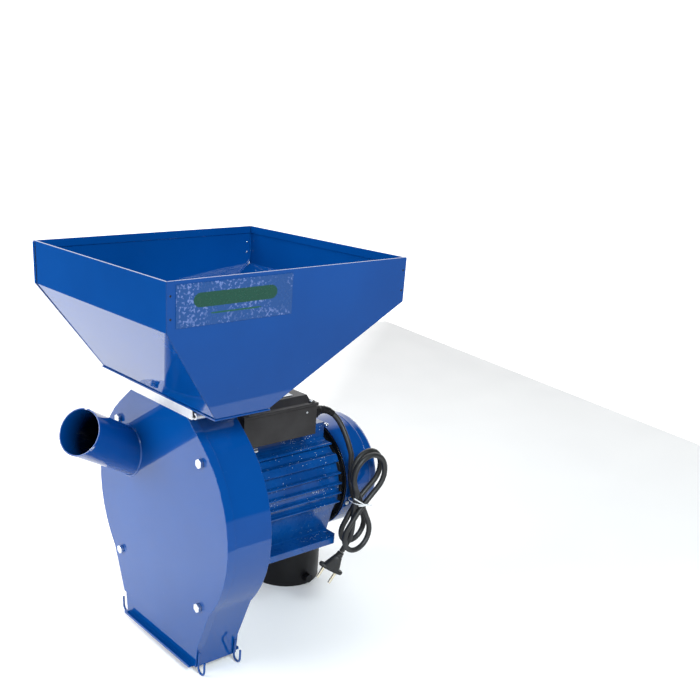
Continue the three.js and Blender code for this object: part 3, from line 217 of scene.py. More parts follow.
# name, place, target and size in metres, watts, colour
AREA_LIGHTS = [
    ("front_box", (-0.5, -1.9, 1.2), (0, -0.1, 0.25), (1.4, 1.2), 40, (1, 1, 1)),
    ("right_box", (1.6, -0.3, 1.5), (0.1, 0, 0.35), (0.8, 0.8), 38, (0.86, 0.97, 1.0)),
    ("top_box", (-0.3, 0.1, 2.0), (0, 0, 0.2), (1.2, 1.2), 5, (1, 1, 1)),
]


def at(x, y, z):
    """A point on the mill's millimetre grid, in metres in the row frame."""
    return MILL_ZERO + Vector((x, y, z)) * MM


def pipe_direction():
    """Unit vector up the cob pipe, from the cover to its mouth."""
    turn, rise = math.radians(PIPE_TURN), math.radians(PIPE_RISE)
    return Vector((math.sin(turn) * math.cos(rise), -math.cos(turn) * math.cos(rise), math.sin(rise)))


# ---------------------------------------------------------------- mesh helpers
def new_piece(name, body, material):
    """Wraps up a mesh or curve: links it, gives it its material and lets it ride on a body."""
    data = bpy.data.meshes.get(name) or bpy.data.curves.get(name)
    piece = bpy.data.objects.new(name, data)
    bpy.context.scene.collection.objects.link(piece)
    data.materials.append(material)
    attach(piece, body)
    return piece


def curve_data(name, points, radius, closed=False, sides=6):
    """Round wire along a smooth curve drawn by its points, given in millimetres."""
    data = bpy.data.curves.new(name, "CURVE")
    data.dimensions = "3D"
    data.bevel_depth = radius * MM
    data.bevel_resolution = sides
    data.use_fill_caps = not closed
    spline = data.splines.new("NURBS")
    spline.points.add(len(points) - 1)
    for point, place in zip(spline.points, points):
        point.co = (*at(*place), 1)
    spline.order_u = 4
    spline.use_endpoint_u = not closed
    spline.use_cyclic_u = closed
    spline.resolution_u = 6
    return data


def lofted(name, rings, smooth=True):
    """Closed skin through a row of equal rings of points, given in metres."""
    build = bmesh.new()
    rows = [[build.verts.new(point) for point in ring] for ring in rings]
    count = len(rows[0])
    for low, high in zip(rows, rows[1:]):
        for i in range(count):
            j = (i + 1) % count
            build.faces.new((low[i], low[j], high[j], high[i]))
    build.faces.new(list(reversed(rows[0])))
    build.faces.new(rows[-1])
    bmesh.ops.recalc_face_normals(build, faces=build.faces)
    data = bpy.data.meshes.new(name)
    build.to_mesh(data)
    build.free()
    if smooth:
        data.shade_smooth()


def frame_on(origin, along, across):
    """Matrix with Z along a direction and X across it, in metres, from millimetre values."""
    z = along.normalized()
    x = (across - z * across.dot(z)).normalized()
    turn = Matrix((x, z.cross(x), z)).transposed().to_4x4()
    return Matrix.Translation(at(*origin)) @ turn


def oval(matrix, half_x, half_y, z, power=2.0, steps=24):
    """Ring of points round a superellipse at height z of a frame; half sizes in millimetres."""
    ring = []
    for i in range(steps):
        angle = 2 * math.pi * i / steps
        cosine, sine = math.cos(angle), math.sin(angle)
        x = half_x * math.copysign(abs(cosine) ** (2 / power), cosine)
        y = half_y * math.copysign(abs(sine) ** (2 / power), sine)
        ring.append(matrix @ (Vector((x, y, z)) * MM))
    return ring


def turned_on(name, matrix, profile, steps):
    """Closed solid of revolution from (radius, height) pairs, both in millimetres."""
    lofted(name, [oval(matrix, radius, radius, z, steps=steps) for radius, z in profile])


def screw_head(name, place, along, radius, height):
    """Round zinc head with a dimple in the middle of its crown."""
    matrix = frame_on(place, Vector(along), Vector(SCREW_TURN))
    crown = [(radius, 0), (radius, height * 0.45), (radius * 0.86, height * 0.8), (radius * 0.55, height)]
    dimple = [(radius * 0.3, height), (radius * 0.12, height * 0.55)]
    turned_on(name, matrix, crown + dimple, 16)
    new_piece(name, "frame", FINISHES["zinc"])


def add_strip(name, centre_line, across, out, half_width, height, material):
    """Flat strip along a bent line: the half width to each side, raised outwards by the height."""
    corners = ((-1, -STRIP_SINK), (1, -STRIP_SINK), (1, height), (-1, height))
    rings = []
    for place in centre_line:
        middle = Vector(place)
        rings.append([at(*(middle + across * side * half_width + out * lift))
                      for side, lift in corners])
    lofted(name, rings, smooth=False)
    new_piece(name, "frame", material)


# ---------------------------------------------------------------- material helpers
class Surface:
    """A Principled material and the few node steps that every finish here is made from."""

    def __init__(self, name, roughness=0.4, metallic=0.0, coat=0.0, coat_roughness=0.05, specular=0.5):
        self.material = bpy.data.materials.new(name)
        self.material.use_nodes = True
        self.tree = self.material.node_tree
        self.shader = self.tree.nodes["Principled BSDF"]
        self.shader.inputs["Roughness"].default_value = roughness
        self.shader.inputs["Metallic"].default_value = metallic
        self.shader.inputs["Coat Weight"].default_value = coat
        self.shader.inputs["Coat Roughness"].default_value = coat_roughness
        self.shader.inputs["Coat IOR"].default_value = COAT_IOR
        self.shader.inputs["Specular IOR Level"].default_value = specular
        self.where = self.tree.nodes.new("ShaderNodeTexCoord").outputs["Object"]

    def node(self, kind, **values):
        made = self.tree.nodes.new(kind)
        for key, value in values.items():
            setattr(made, key, value)
        return made

    def link(self, source, target):
        if hasattr(source, "links"):
            self.tree.links.new(source, target)
        else:
            target.default_value = source

    def noise(self, scale, detail=2.0, stretch=None):
        made = self.node("ShaderNodeTexNoise")
        made.inputs["Scale"].default_value = scale
        made.inputs["Detail"].default_value = detail
        source = self.where
        if stretch:
            mapping = self.node("ShaderNodeMapping")
            mapping.inputs["Scale"].default_value = stretch
            self.tree.links.new(source, mapping.inputs["Vector"])
            source = mapping.outputs["Vector"]
        self.tree.links.new(source, made.inputs["Vector"])
        return made.outputs["Fac"]

    def dots(self, scale, size, share):
        """Scattered round dots: one in some of the cells of a random foam."""
        made = self.node("ShaderNodeTexVoronoi")
        made.inputs["Scale"].default_value = scale
        self.tree.links.new(self.where, made.inputs["Vector"])
        pick = self.node("ShaderNodeSeparateColor")
        self.tree.links.new(made.outputs["Color"], pick.inputs[0])
        near = self.sum("LESS_THAN", made.outputs["Distance"], size)
        return self.sum("MULTIPLY", near, self.sum("LESS_THAN", pick.outputs[0], share))

    def spread(self, value, low, high, to_low=0.0, to_high=1.0):
        made = self.node("ShaderNodeMapRange")
        self.link(value, made.inputs["Value"])
        made.inputs["From Min"].default_value = low
        made.inputs["From Max"].default_value = high
        made.inputs["To Min"].default_value = to_low
        made.inputs["To Max"].default_value = to_high
        return made.outputs["Result"]

    def sum(self, operation, first, second=0.0):
        made = self.node("ShaderNodeMath", operation=operation)
        self.link(first, made.inputs[0])
        self.link(second, made.inputs[1])
        return made.outputs[0]

    def blend(self, factor, first, second):
        made = self.node("ShaderNodeMix", data_type="RGBA")
        self.link(factor, made.inputs["Factor"])
        for socket, colour in zip((s for s in made.inputs if s.type == "RGBA"), (first, second)):
            self.link((*colour, 1.0) if isinstance(colour, tuple) else colour, socket)
        return next(s for s in made.outputs if s.type == "RGBA")

    def vector(self, operation, first, second=None):
        """One vector step with a fixed second value, if it has one; returns its node."""
        made = self.node("ShaderNodeVectorMath", operation=operation)
        self.tree.links.new(first, made.inputs[0])
        if second is not None:
            made.inputs[1].default_value = second
        return made

    def axis(self, index):
        made = self.node("ShaderNodeSeparateXYZ")
        self.tree.links.new(self.where, made.inputs[0])
        return made.outputs[index]

    def colour(self, value):
        self.link((*value, 1.0) if isinstance(value, tuple) else value, self.shader.inputs["Base Color"])

    def clouds(self, scale, detail, low, high, first, second):
        """Slow patches of a second colour in the first."""
        return self.blend(self.spread(self.noise(scale, detail), low, high), first, second)

    def rough(self, value):
        self.link(value, self.shader.inputs["Roughness"])

    def rough_clouds(self, scale, detail, low, high):
        """Roughness that wanders between two values."""
        self.rough(self.spread(self.noise(scale, detail), 0.3, 0.7, low, high))

    def bump(self, *layers):
        """Each layer is (height, strength, distance in metres), laid one over the other."""
        normal = None
        for height, strength, distance in layers:
            made = self.node("ShaderNodeBump")
            made.inputs["Strength"].default_value = strength
            made.inputs["Distance"].default_value = distance
            self.link(height, made.inputs["Height"])
            if normal:
                self.tree.links.new(normal, made.inputs["Normal"])
            normal = made.outputs["Normal"]
        self.tree.links.new(normal, self.shader.inputs["Normal"])


# ---------------------------------------------------------------- finishes
def enamel(name, colour, shade, dents=0.12):
    """Glossy stove enamel: orange peel, slow waves in the sheet and a few pale pinholes."""
    s = Surface(name, ENAMEL_ROUGHNESS, **ENAMEL_COAT)
    base = s.clouds(6.0, 3.0, 0.35, 0.65, colour, shade)
    dust = s.sum("MULTIPLY", s.dots(260.0, 0.1, 0.06), s.spread(s.noise(16.0, 2.0), 0.5, 0.62))
    s.colour(s.blend(s.sum("MULTIPLY", dust, 0.35), base, PALE_DUST))
    s.rough_clouds(40.0, 4.0, ENAMEL_ROUGHNESS * 0.7, ENAMEL_ROUGHNESS * 1.6)
    s.bump((s.noise(7.0, 1.0), dents, 0.004), (s.noise(600.0, 2.0), ORANGE_PEEL, 0.0004))
    return s.material


def cast_paint(name, colour, shade, pinholes=0.22):
    """Thick paint over a sand casting: lumps, runs and white pinholes."""
    s = Surface(name, 0.3, coat=0.8, coat_roughness=0.14, specular=0.1)
    base = s.clouds(28.0, 4.0, 0.38, 0.62, colour, shade)
    pits = s.sum("MULTIPLY", s.dots(420.0, 0.2, pinholes), s.spread(s.noise(24.0, 2.0), 0.46, 0.60))
    s.colour(s.blend(pits, base, WHITE_PIT))
    s.rough_clouds(90.0, 3.0, 0.2, 0.42)
    s.bump((s.noise(45.0, 2.0), 0.16, 0.002), (s.noise(260.0, 3.0), 0.2, 0.0006))
    return s.material


def metal(name, colour, shade, roughness=0.28, grain=(1, 1, 1), wear=0.3):
    """Bare or plated steel: cloudy plating, fine scratches along one direction, dull patches."""
    s = Surface(name, roughness, metallic=1.0)
    base = s.clouds(60.0, 4.0, 0.3, 0.7, colour, shade)
    stains = s.sum("MULTIPLY", s.spread(s.noise(18.0, 3.0), 0.55, 0.7), wear)
    s.colour(s.blend(stains, base, DULL_STAIN))
    s.rough_clouds(110.0, 4.0, roughness * 0.7, roughness * 1.7)
    s.bump((s.noise(500.0, 3.0, stretch=grain), 0.12, 0.0002))
    return s.material


def galvanised(name):
    """Bright zinc coated sheet: faint crystals and a soft sheen."""
    s = Surface(name, 0.45, metallic=0.85)
    crystals = s.node("ShaderNodeTexVoronoi")
    crystals.inputs["Scale"].default_value = 140.0
    s.tree.links.new(s.where, crystals.inputs["Vector"])
    facets = s.spread(crystals.outputs["Distance"], 0.0, 0.9)
    s.colour(s.blend(facets, (0.95, 0.96, 0.97), (0.88, 0.90, 0.92)))
    s.rough_clouds(60.0, 3.0, 0.4, 0.5)
    s.bump((s.noise(30.0, 1.0), 0.05, 0.001), (s.noise(700.0, 2.0), 0.04, 0.0002))
    return s.material


def plastic(name, colour, shade, roughness=0.5, grain=0.2, specular=0.4):
    """Moulded plastic: fine spark-eroded grain, faint handling marks."""
    s = Surface(name, roughness, specular=specular)
    s.colour(s.clouds(35.0, 4.0, 0.35, 0.65, colour, shade))
    s.rough_clouds(24.0, 4.0, roughness * 0.8, roughness * 1.25)
    s.bump((s.noise(14.0, 1.0), 0.05, 0.002), (s.noise(1400.0, 2.0), grain, 0.0003))
    return s.material


def rubber(name, colour, shade):
    """Soft sheath: slightly dusty, with a faint matt skin."""
    s = Surface(name, 0.5)
    s.colour(s.clouds(45.0, 5.0, 0.42, 0.7, colour, shade))
    s.rough_clouds(70.0, 3.0, 0.38, 0.62)
    s.bump((s.noise(900.0, 2.0), 0.12, 0.0003))
    return s.material


def laminations(name, colour, shade):
    """Stacked sheets of the motor's iron, seen as fine rings across Y."""
    s = Surface(name, 0.45, metallic=0.9)
    wave = s.node("ShaderNodeTexWave", bands_direction="Y")
    wave.inputs["Scale"].default_value = 320.0
    wave.inputs["Distortion"].default_value = 0.4
    s.tree.links.new(s.where, wave.inputs["Vector"])
    s.colour(s.blend(wave.outputs["Fac"], colour, shade))
    s.rough_clouds(80.0, 3.0, 0.35, 0.6)
    s.bump((wave.outputs["Fac"], 0.4, 0.0004))
    return s.material


def pipe_enamel(name, colour, shade):
    """The enamel again, chipped to bare steel at the pipe's cut mouth, and darkened inside as painted shade
    that deepens away from the mouth.
    """
    s = Surface(name, ENAMEL_ROUGHNESS, **ENAMEL_COAT)
    base = s.clouds(6.0, 3.0, 0.35, 0.65, colour, shade)
    along = pipe_direction()
    distance = s.vector("DOT_PRODUCT", s.where, along).outputs["Value"]
    mouth = at(*PIPE_FOOT).dot(along) + PIPE_REACH * MM
    edge = s.spread(distance, mouth - CHIPS_FROM * MM, mouth - CHIPS_FULL * MM)
    worn = s.sum("MULTIPLY", edge, s.spread(s.noise(55.0, 3.0), 0.62, 0.65))
    base = s.blend(worn, base, CHIPPED_EDGE)
    # painted shade: inside the pipe the colour darkens with the distance below the mouth
    sideways = s.vector("SUBTRACT", s.where, at(*PIPE_FOOT)).outputs["Vector"]
    crossed = s.vector("CROSS_PRODUCT", sideways, along).outputs["Vector"]
    from_axis = s.vector("LENGTH", crossed).outputs["Value"]
    inside = s.sum("LESS_THAN", from_axis, (PIPE_R - PIPE_WALL) * MM)
    depth = s.spread(distance, mouth - INSIDE_SHADE_FROM * MM, mouth - INSIDE_SHADE_FULL * MM)
    s.colour(s.blend(s.sum("MULTIPLY", inside, depth), base, PIPE_INSIDE_SHADE))
    s.rough_clouds(40.0, 4.0, 0.09, 0.2)
    s.bump((s.noise(30.0, 2.0), 0.08, 0.002), (s.noise(600.0, 2.0), 0.06, 0.0004), (worn, -0.5, 0.0003))
    return s.material


def label_print(name):
    """Clear film with air trapped under it, printed with a plain rounded green bar and a thin line."""
    low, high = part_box("hopper_label")
    s = Surface(name, 0.22, coat=0.6, coat_roughness=0.1)
    across = s.spread(s.axis(1), low.y, high.y)
    up = s.spread(s.axis(2), low.z, high.z)
    bubbles = s.spread(s.noise(330.0, 5.0), 0.53, 0.62)
    patches = s.sum("MULTIPLY", bubbles, s.spread(s.noise(34.0, 2.0), 0.40, 0.56))
    film = s.blend(patches, FILM_BLUE, FILM_BUBBLES)

    def bar(half_length, half_height, centre):
        """One inside a bar with round ends, in shares of the label's length and height."""
        sideways = s.sum("ABSOLUTE", s.sum("SUBTRACT", across, 0.5))
        sideways = s.sum("MAXIMUM", s.sum("SUBTRACT", sideways, half_length - LABEL_ROUNDING), 0.0)
        upward = s.sum("ABSOLUTE", s.sum("SUBTRACT", up, centre))
        length = s.sum("POWER", s.sum("DIVIDE", sideways, LABEL_ROUNDING), 2.0)
        height = s.sum("POWER", s.sum("DIVIDE", upward, half_height), 2.0)
        return s.sum("LESS_THAN", s.sum("ADD", length, height), 1.0)

    film = s.blend(bar(*LABEL_BAR), film, BAR_GREEN)
    s.colour(s.blend(bar(*LABEL_LINE), film, LINE_GREEN))
    s.rough(s.spread(bubbles, 0.0, 1.0, 0.16, 0.4))
    s.bump((bubbles, 0.25, 0.0002), (s.noise(18.0, 2.0), 0.15, 0.001))
    return s.material


def rating_print(name):
    """Silver foil with blank ruled rows, no lettering."""
    low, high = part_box("rating_plate")
    s = Surface(name, 0.32, metallic=0.6)
    across = s.spread(s.axis(0), low.x, high.x)
    along = s.spread(s.axis(1), low.y, high.y)
    rows = s.sum("LESS_THAN", s.sum("FRACT", s.sum("MULTIPLY", across, 9.0)), 0.16)
    inside = s.sum("LESS_THAN", s.sum("ABSOLUTE", s.sum("SUBTRACT", along, 0.5)), 0.42)
    foil = s.clouds(60.0, 3.0, 0.3, 0.7, FOIL, FOIL_SHADE)
    s.colour(s.blend(s.sum("MULTIPLY", rows, inside), foil, FOIL_RULING))
    s.rough_clouds(120.0, 3.0, 0.24, 0.45)
    s.bump((s.noise(300.0, 2.0), 0.06, 0.0002))
    return s.material


def floor_paint(name):
    """Matt white table, lit from within so that it stays paler than the object's own shadows."""
    s = Surface(name, 0.55)
    s.colour(s.clouds(3.0, 3.0, 0.3, 0.7, TABLE_WHITE, TABLE_SHADE))
    s.rough_clouds(9.0, 2.0, 0.5, 0.62)
    s.bump((s.noise(120.0, 2.0), 0.02, 0.0005))
    leftward = s.vector("DOT_PRODUCT", s.where, LEFT_FRONT).outputs["Value"]
    glow = s.spread(leftward, *LEFT_FADE, FLOOR_GLOW, FLOOR_GLOW + LEFT_GLOW)
    s.shader.inputs["Emission Color"].default_value = (1, 1, 1, 1)
    s.tree.links.new(glow, s.shader.inputs["Emission Strength"])
    return s.material


FINISHES = {
    "blue_enamel": enamel("blue_enamel", BLUE, DEEP_BLUE),
    "fan_cover_blue": enamel("fan_cover_blue", BLUE, DEEP_BLUE, dents=0.05),
    "motor_blue": cast_paint("motor_blue", (0.0015, 0.060, 0.25), (0.001, 0.045, 0.20)),
    "dark_casting": cast_paint("dark_casting", (0.008, 0.009, 0.012), (0.004, 0.005, 0.006), pinholes=0.0),
    "zinc": metal("zinc", (0.80, 0.82, 0.84), (0.62, 0.64, 0.67), 0.24, wear=0.1),
    "bare_steel": metal("bare_steel", (0.55, 0.55, 0.56), (0.4, 0.4, 0.41), 0.32, grain=(1, 8, 1)),
    "lamination_steel": laminations("lamination_steel", (0.32, 0.31, 0.3), (0.16, 0.15, 0.15)),
    "box_plastic": plastic("box_plastic", (0.020, 0.018, 0.019), (0.028, 0.026, 0.027), 0.42),
    "black_plastic": plastic("black_plastic", (0.004, 0.004, 0.005), (0.007, 0.007, 0.008), 0.42, 0.12,
                             specular=0.2),
    "plate_silver": rating_print("plate_silver"),
    "capacitor_can": metal("capacitor_can", (0.75, 0.76, 0.78), (0.62, 0.63, 0.65), 0.3, wear=0.05),
    "label_film": label_print("label_film"),
    "black_rubber": rubber("black_rubber", (0.011, 0.011, 0.012), (0.022, 0.022, 0.023)),
    "pin_brass": metal("pin_brass", (0.86, 0.80, 0.66), (0.75, 0.66, 0.48), 0.22, wear=0.1),
}
SHEET_ZINC = galvanised("galvanised_sheet")
OWN_FINISHES = {
    "cob_pipe": pipe_enamel("pipe_enamel", BLUE, DEEP_BLUE),
    "gate_guide": SHEET_ZINC,
    "feed_gate": SHEET_ZINC,
}


# ---------------------------------------------------------------- CAD pieces
def soften(piece, width):
    """Merges the facets' shared corners, joins coplanar facets, rounds the edges and shades smoothly."""
    normals = piece.data.attributes.get("custom_normal")
    if normals:
        piece.data.attributes.remove(normals)
    piece.data.shade_smooth()
    weld = piece.modifiers.new("weld", "WELD")
    weld.merge_threshold = WELD_GAP * MM
    planar = piece.modifiers.new("planar", "DECIMATE")
    planar.decimate_type = "DISSOLVE"
    planar.angle_limit = math.radians(FLAT_ANGLE)
    bevel = piece.modifiers.new("bevel", "BEVEL")
    bevel.width = width * MM
    bevel.segments = 2
    bevel.limit_method = "ANGLE"
    bevel.angle_limit = math.radians(EDGE_ANGLE)
    bevel.use_clamp_overlap = False
    shading = piece.modifiers.new("shading", "WEIGHTED_NORMAL")
    shading.keep_sharp = True


def dress_cad_pieces():
    """Gives each CAD piece the finish of its slot, or its own, and rounds its edges."""
    for entry in frame["record"]["subparts"]:
        node, slot = entry["node"], entry["material_slot"]
        piece = frame["nodes"][node]
        piece.data.materials.clear()
        piece.data.materials.append(OWN_FINISHES.get(node) or FINISHES[slot])
        soften(piece, EDGE_ROUND[slot])


# ---------------------------------------------------------------- mains lead, plug and tie
def loop_points(loop, start_x, end_x, ease):
    """Points round one loop of the hank, entering and leaving along lines through the tie."""
    y0, z0, radius = loop
    away = Vector((TIE_PLACE[0] - y0, TIE_PLACE[1] - z0))
    facing = math.atan2(away.y, away.x)
    half = math.acos(radius / away.length)
    upper = away.y < 0
    start = facing + half if upper else facing - half
    sweep = 2 * math.pi - 2 * half
    points = []
    for i in range(LOOP_STEPS + 1):
        share = i / LOOP_STEPS
        angle = start + sweep * share if upper else start - sweep * share
        x = start_x + (end_x - start_x) * share ** ease
        points.append((x, y0 + radius * math.cos(angle), z0 + radius * math.sin(angle)))
    return points


def lead_route():
    """From the gland down behind the hank, twice round its figure of eight, then to the plug."""
    crossing = [(x, *TIE_PLACE) for x in HANK_LAYERS]
    first, second, third, fourth = HANK_LAYERS
    return [
        *LEAD_ROUTE, *LEAD_INTO_HANK, crossing[0], *loop_points(INNER_LOOPS[0], first, second, 3.0),
        crossing[1], *loop_points(INNER_LOOPS[1], second, third, 1.0),
        crossing[2], *loop_points(OUTER_LOOPS[0], third, fourth, 1.0),
        crossing[3], *loop_points(OUTER_LOOPS[1], fourth, fourth, 1.0), *TAIL_ROUTE,
    ]


def add_lead(plug_pieces):
    """The whole mains lead as one cord, in the place of its two plain CAD solids."""
    curve_data("mains_lead", lead_route(), CORD_R)
    lead = new_piece("mains_lead", "frame", FINISHES["black_rubber"])
    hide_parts("cord_lead", "cord_hank")


def add_strain_relief():
    """Ribbed tapered sleeve round the first stretch of the lead."""
    rings = []
    for i in range(SLEEVE_STEPS + 1):
        share = i / SLEEVE_STEPS
        ahead = max(share - 0.02, 0) * SLEEVE_SPANS
        index = min(int(ahead), SLEEVE_SPANS - 1)
        start, end = Vector(LEAD_ROUTE[index]), Vector(LEAD_ROUTE[index + 1])
        matrix = frame_on(start.lerp(end, ahead - index), end - start, Vector((1, 0, 0)))
        rib = SLEEVE_RIB if i % 4 < 2 else 0.0
        radius = SLEEVE_R - SLEEVE_TAPER * share + rib * (1 - share)
        rings.append(oval(matrix, radius, radius, 0, steps=20))
    lofted("strain_relief", rings)
    new_piece("strain_relief", "frame", FINISHES["black_plastic"])


def add_plug():
    """Two-pin moulded plug: ribbed neck, body that widens to a grip flange with round ends."""
    base = PLUG_TOP + PLUG_DOWN.normalized() * PLUG_LENGTH
    matrix = frame_on(base, -PLUG_DOWN, PLUG_ACROSS)
    pieces = []
    for name, rows in (("plug_shell", list(reversed(PLUG_NECK + PLUG_GRIP))), ("plug_flange", PLUG_FLANGE)):
        lofted(name, [oval(matrix, hx, hy, z, power, PLUG_SIDES) for hx, hy, z, power in rows])
        pieces.append(new_piece(name, "frame", FINISHES["black_rubber"]))
    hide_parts("plug_body")
    return pieces


def add_tie():
    """White twist tie: one turn round the bundle, then a twisted knot and three loose ends."""
    z = TIE_PLACE[1]
    white = plastic("tie_white", (0.82, 0.83, 0.85), (0.72, 0.73, 0.76), 0.45, 0.1)
    wrap = [(113, 262, z + 1), (112.8, 250.5, z + 2.5), (97, 249.8, z + 2), (81.2, 259, z + 1),
            (80.9, 271, z - 0.5), (96, 273.5, z - 2), (110.5, 273, z - 2.5), (113.2, 267, z - 1)]
    ends = {
        "tie_end_long": [(113.6, 264, z - 1), (114.6, 258, z + 3), (114.8, 250, z + 8.5),
                         (113.5, 241, z + 14.5)],
        "tie_end_short": [(113.8, 263.4, z - 0.5), (115.2, 256, z + 0.6), (115.6, 249, z + 2.6)],
        "tie_end_right": [(113.5, 263, z - 0.8), (114.4, 269, z - 2), (113.6, 276, z - 3.2)],
    }
    for name, points in {"tie_wrap": wrap, **ends}.items():
        curve_data(name, points, TIE_R, closed=name == "tie_wrap", sides=3)
        new_piece(name, "frame", white)


# ---------------------------------------------------------------- chamber and cob pipe
def pipe_ring(centre, radius, steps):
    """Points round the cob pipe's axis and square to it, in millimetres."""
    along = pipe_direction()
    side = along.cross(Vector((0, 0, 1))).normalized()
    up = side.cross(along)
    angles = [2 * math.pi * i / steps for i in range(steps)]
    return [centre + (side * math.cos(angle) + up * math.sin(angle)) * radius for angle in angles]


def add_pipe_weld():
    """Painted weld bead, a little uneven, where the cob pipe meets the cover."""
    along = pipe_direction()
    points = []
    for place in pipe_ring(PIPE_FOOT, PIPE_R + 0.4, WELD_STEPS):
        place -= along * (place.y / along.y)
        wobble = WELD_WOBBLE * noise.noise(place * 0.12)
        points.append((place.x, -0.2, place.z + wobble))
    data = curve_data("pipe_weld", points, WELD_BEAD_R, closed=True, sides=4)
    for i, point in enumerate(data.splines[0].points):
        point.radius = 0.85 + 0.3 * noise.noise(Vector((i * 0.9, 3.1, 0)))
    new_piece("pipe_weld", "frame", FINISHES["blue_enamel"])


def add_pipe_lip():
    """Rolled edge round the mouth of the cob pipe."""
    middle = PIPE_FOOT + pipe_direction() * (PIPE_REACH - 0.9)
    curve_data("pipe_lip", pipe_ring(middle, PIPE_R - 0.7, LIP_STEPS), LIP_BEAD_R, closed=True, sides=3)
    new_piece("pipe_lip", "frame", OWN_FINISHES["cob_pipe"])


def add_chamber_bolt_ends():
    """Thread ends of the cover bolts, which stand out behind the chamber."""
    thread = [(THREAD_R if step % 2 else THREAD_ROOT_R, THREAD_STEP * step) for step in range(THREAD_STEPS)]
    thread.append((THREAD_TIP_R, THREAD_STEP * THREAD_STEPS))
    corners = [(side, level) for level in (1, -1) for side in (-1, 1)]
    for i, (side, level) in enumerate(corners):
        place = (side * COVER_BOLT, THREAD_START_Y, AXIS_Z + level * COVER_BOLT)
        name = f"bolt_thread_{i + 1}"
        turned_on(name, frame_on(place, Vector((0, 1, 0)), Vector((1, 0, 0))), thread, 16)
        new_piece(name, "frame", FINISHES["zinc"])


# ---------------------------------------------------------------- hopper
def add_corner_flange():
    """Folded flange down the hopper's front left corner, with a dark strip beside it as painted shade in
    the gap.
    """
    right, outwards = Vector((1, 0, 0)), Vector(FLANGE_OUT)
    for name, inset, half_width, height, finish in CORNER_STRIPS:
        line = [(-HOPPER_X + inset, HOPPER_Y0, HOPPER_RIM_Z - 1),
                (-HOPPER_X + inset, HOPPER_Y0, HOPPER_FOLD_Z),
                (-HOPPER_LOW_X + inset, HOPPER_LOW_Y0, HOPPER_LOW_Z + 1)]
        add_strip(name, line, right, outwards, half_width, height, FINISHES[finish])


def add_inner_seams():
    """Closed corners inside the hopper, straight down its band and then in along the slope."""
    x, low_x = HOPPER_X - HOPPER_SKIN, HOPPER_LOW_X - HOPPER_SKIN
    front = (HOPPER_Y0 + HOPPER_SKIN, HOPPER_LOW_Y0 + HOPPER_SKIN)
    rear = (HOPPER_Y1 - HOPPER_SKIN, HOPPER_LOW_Y1 - HOPPER_SKIN)
    corners = [(side, *ends) for side in (-1, 1) for ends in (front, rear)]
    for i, (side, y, low_y) in enumerate(corners):
        line = [(side * x, y, HOPPER_RIM_Z - HOPPER_SKIN),
                (side * x, y, SEAM_MIDDLE_Z),
                (side * x, y, HOPPER_FOLD_Z + 1),
                (side * (x - 0.4), y + (low_y - y) * 0.02, HOPPER_FOLD_Z - 2),
                (side * (low_x + x) / 2, (y + low_y) / 2, (HOPPER_FOLD_Z + HOPPER_LOW_Z) / 2),
                (side * low_x, low_y, HOPPER_LOW_Z + 2)]
        name = f"hopper_inner_seam_{i + 1}"
        curve_data(name, line, SEAM_R, sides=3)
        new_piece(name, "frame", FINISHES["blue_enamel"])


def add_spot_welds():
    """Two bare spots inside the left panel and four dark ones outside the right panel."""
    inner = [(-HOPPER_X + 1.3, HOPPER_Y1 - BARE_WELD_INSET, z) for z in INNER_WELD_ZS]
    outer_ys = (HOPPER_Y0 + DARK_WELD_INSET, HOPPER_Y1 - DARK_WELD_INSET)
    outer = [(HOPPER_X, y, z) for y in outer_ys for z in OUTER_WELD_ZS]
    for i, place in enumerate(inner + outer):
        bare = i < len(inner)
        radius = BARE_WELD_R if bare else DARK_WELD_R
        name = f"spot_weld_{i + 1}"
        matrix = frame_on(place, Vector((1, 0, 0)), Vector((0, 0, 1)))
        turned_on(name, matrix, [(radius, -0.2), (radius, 0.15), (radius * 0.6, 0.35)], 12)
        finish, slot = ("zinc", "zinc") if bare else ("dark_casting", "blue_enamel")
        new_piece(name, "frame", FINISHES[finish])


# ---------------------------------------------------------------- motor
def add_box_screws():
    """Screw bosses at the lid's corners and the small earth screw on the box's side."""
    corners = [(side * LID_SCREW_X, y) for y in LID_SCREW_YS for side in (-1, 1)]
    for i, (x, y) in enumerate(corners):
        name = f"lid_boss_{i + 1}"
        turned_on(name, frame_on((x, y, LID_LIP_Z - 3), Vector((0, 0, 1)), Vector((1, 0, 0))), LID_BOSS, 24)
        new_piece(name, "frame", FINISHES["box_plastic"])
        screw_head(f"lid_screw_{i + 1}", (x, y, LID_LIP_Z + 2.6), (0, 0, 1), *LID_SCREW_SIZE)
    screw_head("box_screw", EARTH_SCREW_PLACE, (1, 0, 0), *EARTH_SCREW_SIZE)


def add_fan_cover_screws():
    """Screws set evenly round the fan cover."""
    for i in range(FAN_SCREW_COUNT):
        angle = math.radians(FAN_SCREW_ANGLE + 360 / FAN_SCREW_COUNT * i)
        out = Vector((math.cos(angle), 0, math.sin(angle)))
        place = Vector((0, FAN_SCREW_Y, AXIS_Z)) + out * (FAN_COVER_R - 0.4)
        screw_head(f"fan_cover_screw_{i + 1}", place, out, *FAN_SCREW_SIZE)


